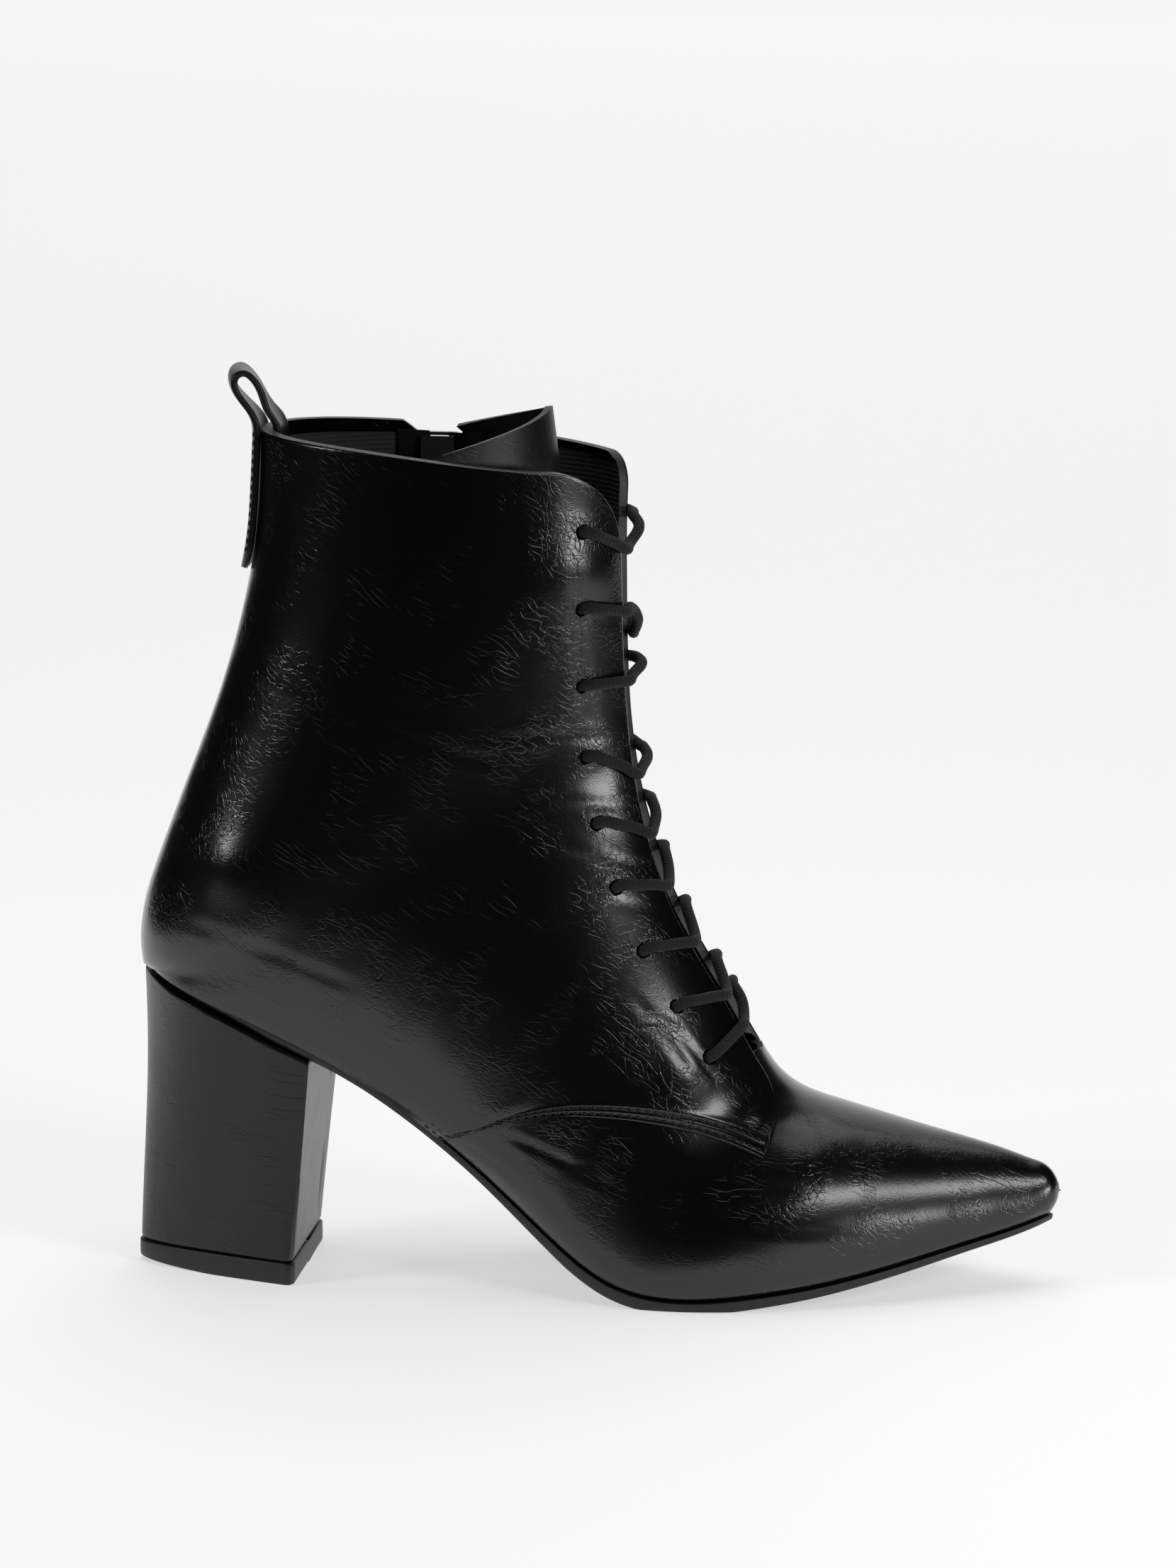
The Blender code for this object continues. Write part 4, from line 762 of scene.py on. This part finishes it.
# The vamp: the same ribs from the waist to the toe, both sides in one sheet that closes at the tip.
def makeVamp():
    rows = np.concatenate([np.linspace(13.4, shoe["throat"], 36)[:-1],
                           np.linspace(shoe["throat"], 25, 92)[:-1], np.linspace(25, 27, 22)])
    grids = []
    for side in (outer, inner):
        gap, seam, end = edgesOf(rows, side)
        tucked = np.where(rows < 17, seam - vamp["tuck"], 0)
        start = np.where(rows < 15.3, tucked, np.where(
            rows < 15.85, gap + 6 + (tucked - gap - 6) * smoothStep(15.85, 15.3, rows),
            (gap + 6) * smoothStep(shoe["throat"], 15.85, rows)))
        start = np.minimum(start, end - 0.5)
        share = np.linspace(0, 1, vamp["columns"])[None]
        distances = start[:, None] + (end - start)[:, None] * share
        base, normal = onSurface(rows, side, distances), outwards(rows, side, distances)
        flat = smoothStep(-5, 0, distances - end[:, None]) * smoothStep(25, 24.2, rows)[:, None]
        flat = flat * (normal[..., 2] < 0)
        normal[..., 2] *= 1 - flat
        normal /= np.maximum(np.linalg.norm(normal, axis=-1, keepdims=True), 1e-9)
        amount = wrinkleValues(base, side)
        thick = np.minimum(shoe["wall"], 0.45 * sectionAt(rows)["wideOuter"])[:, None]
        depth = -thick * np.ones_like(distances)
        grids.append((base, normal, troughs(base, vampCreases[side]), depth, *amount))
    turned = [np.concatenate([a[:, ::-1], b], axis=1) for a, b in zip(*grids)]
    base, normal, height, depth, *amount = turned
    tipMiddle = base[-1].mean(0) + [0.15, 0, 0]
    outside = np.concatenate([base + normal * height[..., None], np.broadcast_to(tipMiddle, base[:1].shape)])
    inside = np.concatenate([base + normal * depth[..., None],
                             np.broadcast_to(tipMiddle - [1.2, 0, 0], base[:1].shape)])
    faces = gridFaces(*outside.shape[:2])[:, ::-1]
    row, column = np.divmod(np.arange(len(faces)), outside.shape[1] - 1)
    rowStation = np.concatenate([rows, [27]])[row]
    faces = faces[~((column == vamp["columns"] - 1) & (rowStation < shoe["throat"] - 1e-6))]
    names = ("level", "falling", "steep")
    amount = {name: np.concatenate([values, values[-1:]]) for name, values in zip(names, amount)}
    return addShell("vamp", outside, inside, faces, [leather, cutEdgeHighlight, knit], amount)


vampPiece = makeVamp()
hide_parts("upper")
print("vamp made")


tongue = {"rows": 90, "columns": 46, "thick": 1.8, "rise": 13.0, "fall": 12.0, "lean": 1.6, "narrow": 0.93}


# The tongue: the front of the ribs moved inwards by a depth for each station, its top raised to a round flap.
def makeTongue():
    stations = np.linspace(17.4, 0, tongue["rows"])
    depth = np.interp(stations, [0, 4, 10.3, 13.3, 14.4, 16, 17.4], [19.5, 13.5, 9.5, 7.0, 5.5, 3.6, 2.1])
    half = np.interp(stations, [0, 7, 13, 15.6, 17.4], [42.0, 36.0, 26.0, 18.0, 15.0])
    share = np.linspace(-1, 1, 2 * tongue["columns"] // 2 + 1)
    cut = sectionAt(stations)
    run = np.stack([cut["endX"] - cut["frontX"], 0 * stations, cut["endZ"] - cut["frontZ"]], axis=1)
    run /= np.linalg.norm(run, axis=1, keepdims=True)
    left = onSurface(stations, outer, np.abs(share[share < 0])[None] * half[:, None])
    right = onSurface(stations, inner, share[share >= 0][None] * half[:, None])
    grid = np.concatenate([left, right], axis=1) + (run * depth[:, None])[:, None]
    grid[..., 1] *= tongue["narrow"]
    rise = tongue["rise"] - tongue["fall"] * np.abs(share) ** 1.2
    part = np.linspace(0, 1, 14)[1:, None]
    top = np.repeat(grid[-1:], 13, axis=0)
    top[..., 0] -= tongue["lean"] * part
    top[..., 2] += rise[None] * part
    grid = np.concatenate([grid, top])
    down, across = np.gradient(grid, axis=0), np.gradient(grid, axis=1)
    normal = np.cross(across, down)
    normal /= np.linalg.norm(normal, axis=-1, keepdims=True)
    normal *= np.sign(normal[40, len(share) // 2, 0])
    faces = gridFaces(*grid.shape[:2])
    amount = np.full(grid.shape[:2], 0.35)
    piece = addShell("tongue", grid, grid - normal * tongue["thick"], faces,
                     [tongueLeather, cutEdgeHighlight, tongueLeather], {"level": amount, "falling": amount})
    line = grid[-1] - [0, 0, 3.0]
    return piece, line, normal[-1]


tonguePiece, tongueLine, tongueNormal = makeTongue()
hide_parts("tongue")
print("tongue made")


loop = {
    "width": 16.0, "narrow": 0.2, "twist": 0.3, "thick": 1.7, "tipLength": 7.0, "innerNarrow": 0.25,
    "bowDepth": 47.0, "bowHalf": 31.0,
}
loopPath = np.array([
    [-91.4, 184.0, 1.0], [-90.3, 190.0, 1.0], [-89.4, 197.0, 1.0], [-88.8, 206.0, 1.0], [-88.4, 214.0, 1.0],
    [-88.2, 219.0, 1.0], [-88.7, 222.4, 0.8], [-90.4, 225.4, 0.5], [-92.8, 228.4, 0.35], [-94.4, 231.4, 0.3],
    [-94.0, 234.0, 0.3], [-92.0, 235.0, 0.3], [-89.9, 233.8, 0.3], [-88.0, 231.2, 0.35], [-86.6, 228.0, 0.5],
    [-85.2, 225.0, 0.8], [-83.2, 222.2, 1.0], [-82.0, 217.0, 1.0], [-82.2, 209.0, 1.0],
])


# The strap: a flat profile carried along a spline; a circle's bow lays it round the back of the collar.
def makeLoop():
    at = np.linspace(0, len(loopPath) - 1, 150)
    x, z, bent = (splineThrough(np.arange(len(loopPath)), loopPath[:, k])(at) for k in range(3))
    far = np.concatenate([[0], np.cumsum(np.hypot(np.diff(x), np.diff(z)))])
    half = loop["width"] / 2 * (1 - loop["narrow"] * (1 - bent))
    half = half * np.sqrt(1 - (1 - np.clip((far + 0.4) / loop["tipLength"], 0, 1)) ** 2)
    half = half * (1 - loop["innerNarrow"] * smoothStep(13, 16, at))
    share = np.array([0.2, 0.4, 0.6, 0.8, 0.9, 0.95, 0.985, 1])
    share = np.concatenate([-share[::-1], [0], share])
    y = half[:, None] * share
    back = loop["bowDepth"] * (1 - np.sqrt(1 - (y / loop["bowHalf"]) ** 2))
    bent = bent[:, None]
    x = x[:, None] + bent * back - loop["twist"] * (1 - bent) * y
    grid = np.stack([x, y, z[:, None] + 0 * y], axis=-1)
    normal = np.cross(np.gradient(grid, axis=0), np.gradient(grid, axis=1))
    normal /= np.linalg.norm(normal, axis=-1, keepdims=True)
    normal *= -np.sign(normal[30, 8, 0])
    edge = half[:, None] * (1 - np.abs(share))
    thick = (loop["thick"] / 2 - rolled(edge, 0.5))[..., None]
    faces = gridFaces(*grid.shape[:2])
    piece = addShell("pullLoop", grid + normal * thick, grid - normal * thick, faces,
                     [strapLeather, strapEdge, strapLeather], {"level": np.full(grid.shape[:2], 0.4)})
    rows = []
    keep = (far > 4) & (z < 220) & (at < 8)
    for sign in (-1, 1):
        k = 4 if sign < 0 else 12
        rows.append(stitchPoints((grid + normal * thick)[keep, k], normal[keep, k]))
    return piece, rows


loopPiece, loopStitches = makeLoop()
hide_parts("pull_loop")
print("pull loop made")


sole = {"lip": 0.7}
soleThickness = np.array([
    [-118, 0.9], [-108, 1.9], [-95, 2.2], [-82, 3.0], [-74, 2.7], [-66, 2.2], [-58, 2.1], [-30, 2.7],
    [-5, 3.9], [25, 3.4], [80, 2.4], [119, 1.7],
])
soleInset = np.array([[8, 1.3], [11, 1.3], [12.5, 0.3], [16, -0.5], [18, -0.9], [25, -0.6]])


# The upper's lower edge in plan, moved inwards square to itself.
def featherLine(stations, inset, side):
    cut = sectionAt(stations)
    half = np.maximum(cut["endOuter" if side == outer else "endInner"], 0)
    line = np.stack([cut["endX"], cut["swing"] + side * half], axis=1)
    along = np.gradient(line, axis=0)
    along /= np.linalg.norm(along, axis=1, keepdims=True)
    along[[0, -1]] = [[0, side], [0, -side]]
    inwards = np.stack([along[:, 1], -along[:, 0]], axis=1) * side
    return line + inwards * np.asarray(inset)[..., None]


featherStations = np.linspace(shoe["heelCorner"], shoe["toeCorner"], 400)
featherX, featherZ = sectionAt(featherStations)["endX"], sectionAt(featherStations)["endZ"]


# Height of the upper's lower edge over the floor.
def seatHeight(x):
    return np.interp(x, featherX, featherZ)


# The sole's underside: the lower edge less the glue and the sole's thickness there.
def soleBottom(x):
    thickness = np.interp(x, soleThickness[:, 0], soleThickness[:, 1])
    return np.maximum(seatHeight(x) - shoe["glueGap"] - thickness, 0)


# The sole: a ring of round edge, underside and top for each station, carried from heel to toe.
def makeOutsole():
    stations = 8 + 17 * (0.5 - 0.5 * np.cos(math.pi * np.linspace(0, 1, 260))) ** 0.9
    stations = np.clip(stations, 8, 25)
    inset = np.interp(stations, soleInset[:, 0], soleInset[:, 1])
    edge = np.linspace(0, 1, 7)  # from the top edge to the bottom edge, a full round side
    rings = []
    for side in (outer, inner):
        lines = []
        for t in edge:
            bulge = 0.35 * math.sin(math.pi * t) - 0.35 * (t in (0, 1))
            line = featherLine(stations, inset + sole["lip"] * t - bulge, side)
            top = seatHeight(line[:, 0]) - shoe["glueGap"]
            down = (soleBottom(line[:, 0]) - top) * (0.5 - 0.5 * math.cos(math.pi * t))
            lines.append(np.column_stack([line, top + down]))
        rings.append(np.stack(lines, axis=1))
    near, far = rings
    share = np.linspace(0, 1, 12)[1:-1, None, None]
    bottom = (near[:, -1][None] * (1 - share) + far[:, -1][None] * share).transpose(1, 0, 2)
    bottom[..., 2] = soleBottom(bottom[..., 0])
    top = (far[:, 0][None] * (1 - share) + near[:, 0][None] * share).transpose(1, 0, 2)
    ring = np.concatenate([near, bottom, far[:, ::-1], top], axis=1)
    return addMesh("outsole", ring, gridFaces(*ring.shape[:2], around=True)[:, ::-1], [soleRubber])


outsole = makeOutsole()
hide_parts("outsole")

heel = {
    "tipHeight": 5.7, "tipBack": -119.9, "tipFront": -76.9, "tipHalf": 24.4, "taper": 0.17, "tipLift": 1.2,
    "tipFlat": -99.0, "ledge": 0.9, "breast": -71.6, "skew": 0.8, "hollow": 0.9, "waist": 0.04, "round": 0.9,
    "corner": 2.2, "seamY": 15.6, "middle": -92.0,
}


# One side of the plan at the floor: the root of the share along it, less a taper to the back; its front
# corner is rounded.
def tipOutline(share, lip):
    half = (heel["tipHalf"] + lip) * np.sqrt(share) * (1 - heel["taper"] * (1 - share))
    x = heel["tipBack"] - lip + (heel["tipFront"] - heel["tipBack"] + 2 * lip) * share
    half = half - rolled(heel["tipFront"] + lip - x, heel["corner"])
    return np.column_stack([x, half])


# The tip's back edge leaves the floor by a power of the distance behind its flat part.
def tipLift(x):
    behind = (heel["tipFlat"] - x) / (heel["tipFlat"] - heel["tipBack"])
    return heel["tipLift"] * np.clip(behind, 0, 1.1) ** 1.3


# One side of the heel's top in plan, at equal shares of its length.
def seatOutline(share):
    stations = np.linspace(shoe["heelCorner"], 13, 300)
    line = featherLine(stations, np.full(300, -heel["ledge"]), inner)
    line = line[line[:, 0] <= heel["breast"]]
    far = np.concatenate([[0], np.cumsum(np.linalg.norm(np.diff(line, axis=0), axis=1))])
    return np.stack([np.interp(share * far[-1], far, line[:, k]) for k in range(2)], axis=1)


# A closed ring from one side's plan: along it, across the breast and back along the mirrored, slightly
# skewed side.
def planRing(line, height, breastColumns):
    near = line * [1, -1]
    far = line.copy()
    far[:, 0] += heel["skew"] * np.linspace(0, 1, len(line)) ** 6
    share = np.linspace(0, 1, breastColumns + 2)[1:-1, None]
    ring = np.concatenate([near, near[-1] * (1 - share) + far[-1] * share, far[:0:-1]])
    return np.column_stack([ring, height(ring[:, 0])])


# A lofted block with its first and last ring closed to a middle line.
def addLoft(name, rings, materials, values=None):
    rings = np.asarray(rings)
    ends = []
    for ring in (rings[0], rings[-1]):
        flat = ring.copy()
        flat[:, 1] *= 0.02
        ends.append(flat)
    rings = np.concatenate([ends[0][None], rings, ends[1][None]])
    count = rings.shape[1]
    return addMesh(name, rings, gridFaces(len(rings), count, around=True)[:, ::-1], materials, values=values)


# The block: plan rings mixed from tip to seat, hollow at the back, waisted, rounded at both rims.
def makeHeel():
    share = np.linspace(0, 1, 90)
    low, high = tipOutline(share**1.8, 0.0), seatOutline(share)
    bottom = heel["tipHeight"] + shoe["glueGap"]
    rings = []
    levels = np.concatenate([[0, 0.002, 0.006, 0.012], np.linspace(0.02, 0.98, 60), [0.988, 0.994, 0.998, 1]])
    for k in levels:
        line = low + (high - low) * k
        line[:, 0] += heel["hollow"] * np.sin(math.pi * k**1.5) * (1 - share) ** 1.3
        line[:, 1] *= 1 - heel["waist"] * math.sin(math.pi * k)
        edge = np.minimum(k, 1 - k) * (soleBottom(line[:, 0]) - bottom)
        toMiddle = np.array([[heel["middle"], 0.0]]) - line
        toMiddle = toMiddle / np.linalg.norm(toMiddle, axis=1, keepdims=True)
        line = line + toMiddle * rolled(edge, heel["round"])[:, None]
        rings.append(planRing(line, lambda x: bottom + (soleBottom(x) - shoe["glueGap"] - bottom) * k, 24))
    rings = np.array(rings)
    groove = np.exp(-((rings[..., 1] - heel["seamY"]) / 0.35) ** 2) * (rings[..., 0] > -78)
    rings[..., 0] -= 0.5 * groove
    amount = np.full((len(rings) + 2, rings.shape[1]), 0.7)
    return addLoft("heelBlock", rings, [heelLeather], {"level": amount, "falling": 0.6 * amount})


heelBlock = makeHeel()
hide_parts("heel")


# The tip: its plan with a small lip, in rings from the floor up.
def makeTip():
    share = np.linspace(0, 1, 90) ** 1.8
    top = heel["tipHeight"]
    rings = []
    profile = (
        (0, 0), (0.02, 0.2), (0.05, 0.32), (0.1, 0.4), (0.5, 0.42), (0.9, 0.4), (0.95, 0.32),
        (0.98, 0.18), (1, 0),
    )
    for part, lip in profile:
        rings.append(planRing(tipOutline(share, lip), lambda x: top * part + tipLift(x) * (1 - part), 24))
    return addLoft("heelTip", rings, [tipRubber])


heelTip = makeTip()
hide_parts("heel_tip")
print("sole and heel made")

lace = {"radius": 1.45, "over": 2.6, "under": -3.4, "spacing": 0.7}
# Each bar from the top: how far over its holes it lies at the outer and the inner facing's edge, and its
# bulge between.
bars = (
    (-6.0, -0.6, 1.4), (-2.2, -12.0, 1.0), (0.0, 1.7, 1.4), (-6.0, -3.4, 1.0), (-4.3, 0.2, 0.6),
    (-1.6, 4.0, 0.2), (-0.2, 5.7, 0.0), (0.5, 5.7, 0.0), (5.8, 12.0, 0.6),
)


# Station and distance of one hole.
def holeAt(row, side):
    return next((s, d) for k, (own, s, d) in enumerate(holes) if own == side and k % len(holeHeights) == row)


# Station where a facing's edge has a given height over the floor, and the edge's distance there.
def edgeAt(height, side):
    stations = np.linspace(0.0, 17.0, 300)
    gaps = edgesOf(stations, side)[0]
    heights = onSurface(stations, side, gaps[:, None])[:, 0, 2]
    station = np.interp(-height, -heights, stations)
    return station, np.interp(station, stations, gaps)


# One bar of the lace from hole to hole: out of the first, over its facing, across the throat and into the
# second.
def barPoints(row, side):
    points = []
    for own in (outer, inner):
        hole, distance = holeAt(row, own)
        edge, gap = edgeAt(holeHeights[row] + bars[row][0 if own == outer else 1], own)
        part = [
            (hole, distance - 0.4, -1.8), (hole, distance, 0.4), (hole, distance - 1.2, 2.2),
            (hole * 0.75 + edge * 0.25, distance - 4.5, lace["over"]),
            (hole * 0.3 + edge * 0.7, gap + 4.0, lace["over"]),
            (edge, gap + 0.4, lace["over"]), (edge, gap - 2.2, 1.3),
        ]
        points.append([wallPoints(s, own, d, h)[0] for s, d, h in part])
    middle = (points[0][-1] + points[1][-1]) / 2
    middle = middle + np.array([bars[row][2], 0, 0.4 * bars[row][2]]) * 1.6
    path = points[0] + [middle] + points[1][::-1]
    return path if side == outer else path[::-1]


# Inside, from a hole up to another hole of the same side.
def insidePoints(row, target, side):
    start, far = holeAt(row, side)
    stop, wide = holeAt(target, side)
    share = np.linspace(0.12, 0.88, 5 if row - target > 1 else 3)
    return [wallPoints(start + (stop - start) * k, side, far + (wide - far) * k, lace["under"])[0]
            for k in share]


# Half of the lace: from the lowest bar inwards and up through every second bar; it stops behind a top hole.
def laceHalf(side, rows):
    points, last = [], len(holeHeights) - 1
    for row in rows:
        points += insidePoints(last, row, side) + barPoints(row, side)
        side, last = -side, row
    if last == 0:
        hole, distance = holeAt(0, side)
        return points + [wallPoints(hole, side, distance - 2.0, lace["under"])[0],
                         wallPoints(hole + 0.1, side, distance - 6.0, lace["under"])[0]]
    return points + insidePoints(last, 0, side)


lastRow = len(holeHeights) - 1
outerHalf, innerHalf = laceHalf(outer, range(lastRow - 1, 0, -2)), laceHalf(inner, range(lastRow - 2, -1, -2))
lacePath = outerHalf[::-1] + barPoints(lastRow, outer) + innerHalf
lacePiece = addTube("lace", resample(lacePath, lace["spacing"]), lace["radius"], cotton)
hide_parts("lace_bar", *[f"lace_crossing_{k}" for k in range(1, 9)])
print("lace made")


# Stitches along both rows of the seam, and the bar tack at its front corner.
def seamStitches():
    rows = []
    stations = np.linspace(13.9, 17.75, 120)
    for side in (outer, inner):
        _, seam, _ = edgesOf(stations, side)
        for inset in quarter["stitchRows"]:
            keep = seam - inset > facingEdge(stations, side) + 1.6
            path = wallPoints(stations[keep], side, (seam - inset)[keep], shoe["quarterStep"] - 0.12)
            normal = outwards(stations[keep], side, (seam - inset)[keep, None])[:, 0]
            rows.append(stitchPoints(path, normal))
        for inset in (6.2, 7.4, 8.6):  # bar tack at the front corner
            near = np.linspace(17.1, 17.6, 12)
            _, nearSeam, _ = edgesOf(near, side)
            path = wallPoints(near, side, nearSeam - inset, shoe["quarterStep"])
            normal = outwards(near, side, (nearSeam - inset)[:, None])[:, 0]
            rows.append(stitchPoints(path, normal, 2.8, 2.5, 0.9, 0.15))
    return rows


stitchRows = seamStitches() + loopStitches + [stitchPoints(tongueLine[2:-2], tongueNormal[2:-2])]
stitches = addStitches("stitches", stitchRows, thread)
print("stitches made")


zipSizes = {"tape": 11.0, "pitch": 1.35, "from": 0.12, "to": 12.1, "closed": 0.6, "parted": 3.2}


# Two tapes that part above the slider, and two rows of coil teeth in the slot.
def makeZip():
    stations = np.linspace(zipSizes["from"], zipSizes["to"], 200)
    line = zipLine(np.minimum(stations, 12.3))[0]
    parted = 0.1 + zipSizes["parted"] * np.maximum(1 - stations / zipSizes["closed"], 0)
    sheets, faces = [], []
    for way in (-1, 1):
        across = way * (parted[:, None] + (zipSizes["tape"] - parted[:, None]) * np.linspace(0, 1, 12))
        base = onSurface(stations, inner, line[:, None] + across)
        normal = outwards(stations, inner, line[:, None] + across)
        sheets.append((base + normal * (-shoe["wall"] - 0.3), base + normal * (-shoe["wall"] - 1.0)))
        faces.append(gridFaces(len(stations), 12, len(faces) * 12 * len(stations))[:, ::way])
    top, low = (np.concatenate([s[k].reshape(-1, 3) for s in sheets]) for k in (0, 1))
    tape = addShell("zipTape", top, low, np.concatenate(faces)[:, ::-1], [zipTape, zipTape, zipTape])
    rows = []
    chain = (stations < quarter["slotEnd"]) & (stations > zipSizes["closed"])
    for shift in (-1.05, 1.05):  # capsules lying across the line, one every pitch
        path = wallPoints(stations[chain], inner, line[chain] + shift, -0.1 * np.ones(chain.sum()))
        normals = outwards(stations[chain], inner, (line[chain] + shift)[:, None])[:, 0]
        rows.append(stitchPoints(path, normals, zipSizes["pitch"], 0.85, 1.0, 0.0))
    return tape, addStitches("zipCoil", rows, zipNylon)


zipTapes, zipCoil = makeZip()
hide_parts("zip")
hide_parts("zip")

for name in ("zip_slider", "zip_pull_tab"):
    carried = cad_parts[name]
    carried.data.materials.clear()
    carried.data.materials.append(steel)
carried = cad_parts["insole"]
carried.data.materials.clear()
carried.data.materials.append(insoleCloth)
print("zip made")


view = {
    "azimuth": 6.7, "elevation": 12.0, "distance": 2.4, "target": (-0.0029, 0.0, 0.129),
    "lens": 36 * 13200 / 2212,  # sensor in mm, focal length and frame height in pixels
}
stage = {
    "front": -0.30, "back": 2.5, "half": 0.62, "flare": 0.36, "sweep": 0.6, "top": 5.6,
    "glow": 0.58, "farGlow": 0.12, "sky": 0.97, "dark": 0.01,
}


# Floor and backdrop: flat, then a quarter circle, then upright; wider and brighter with the distance
# behind the boot.
def makeStage():
    turn = np.linspace(0, math.pi / 2, 24)
    y = np.concatenate([np.linspace(stage["front"], stage["back"], 40),
                        stage["back"] + stage["sweep"] * np.sin(turn)[1:], [stage["back"] + stage["sweep"]]])
    z = np.concatenate([np.zeros(40), stage["sweep"] * (1 - np.cos(turn))[1:], [stage["top"]]])
    half = stage["half"] + stage["flare"] * np.maximum(y - 0.3, 0)
    share = np.linspace(-1, 1, 5)
    grid = np.stack([half[:, None] * share, y[:, None] + 0 * share, z[:, None] + 0 * share], axis=-1)
    glow = stage["glow"] + stage["farGlow"] * smoothStep(0.4, 1.9, y)
    data = bpy.data.meshes.new("backdrop")
    data.from_pydata(grid.reshape(-1, 3).tolist(), [], gridFaces(len(y), 5).tolist())
    data.polygons.foreach_set("use_smooth", np.ones(len(data.polygons), bool))
    glowing = data.attributes.new("glow", "FLOAT", "POINT")
    glowing.data.foreach_set("value", np.repeat(glow, 5).astype(np.float32))
    material, shader = newMaterial("white paper")
    shine = node(material, "ShaderNodeAttribute", {"attribute_name": "glow"}).outputs["Fac"]
    setShader(material, shader, Base_Color=rgba("#f4f4f5"), Roughness=1.0, Specular_IOR_Level=0.0,
              Emission_Color=rgba("#f9f9fa"), Emission_Strength=shine)
    material.cycles.emission_sampling = "NONE"
    data.materials.append(material)
    made = bpy.data.objects.new("backdrop", data)
    bpy.context.scene.collection.objects.link(made)


makeStage()
scene = bpy.context.scene
world = bpy.data.worlds.new("studio")
scene.world = world
world.use_nodes = True
# Pale where the camera sees past the paper, nearly dark for reflections.
sky = world.node_tree.nodes["Background"]
sky.inputs["Color"].default_value = (1, 1, 1, 1)
seen = node(world, "ShaderNodeLightPath").outputs["Is Camera Ray"]
strength = node(world, "ShaderNodeMath", {"operation": "MULTIPLY_ADD"}, i0=seen, i1=stage["sky"],
                i2=stage["dark"])
world.node_tree.links.new(strength.outputs["Value"], sky.inputs["Strength"])

# Softboxes: place, aim, size along and up, power in watts.
lights = {
    "overhead": ((0.0, 0.3, 1.6), (0.0, 0.0, 0.1), (1.4, 1.2), 6.9),
    "highRight": ((0.98, -0.825, 0.73), (0.06, -0.02, 0.04), (0.44, 0.27), 3.3),
    "right": ((1.06, -0.56, 0.14), (0.0, -0.02, 0.19), (0.4, 0.15), 2.2),
    "left": ((-1.33, -0.68, 0.65), (-0.09, -0.02, 0.115), (0.42, 0.17), 4.0),
}
for name, (place, aim, size, power) in lights.items():
    data = bpy.data.lights.new(name, "AREA")
    data.shape = "RECTANGLE"
    data.size, data.size_y = size
    data.energy = power
    made = bpy.data.objects.new(name, data)
    made.location = place
    made.rotation_euler = (Vector(aim) - Vector(place)).to_track_quat("-Z", "Y").to_euler()
    scene.collection.objects.link(made)

cameraData = bpy.data.cameras.new("camera")
cameraData.sensor_fit = "AUTO"
cameraData.sensor_width = 36
cameraData.lens = view["lens"]
camera = bpy.data.objects.new("camera", cameraData)
azimuth, elevation = math.radians(view["azimuth"]), math.radians(view["elevation"])
level = math.cos(elevation)
away = Vector((math.sin(azimuth) * level, -math.cos(azimuth) * level, math.sin(elevation)))
camera.location = Vector(view["target"]) + away * view["distance"]
camera.rotation_euler = (-away).to_track_quat("-Z", "Y").to_euler()
scene.collection.objects.link(camera)
scene.camera = camera
scene.view_settings.view_transform = "Standard"
scene.view_settings.look = "None"
scene.cycles.max_bounces = 2
scene.cycles.diffuse_bounces = 0
scene.cycles.glossy_bounces = 2
print("stage set")
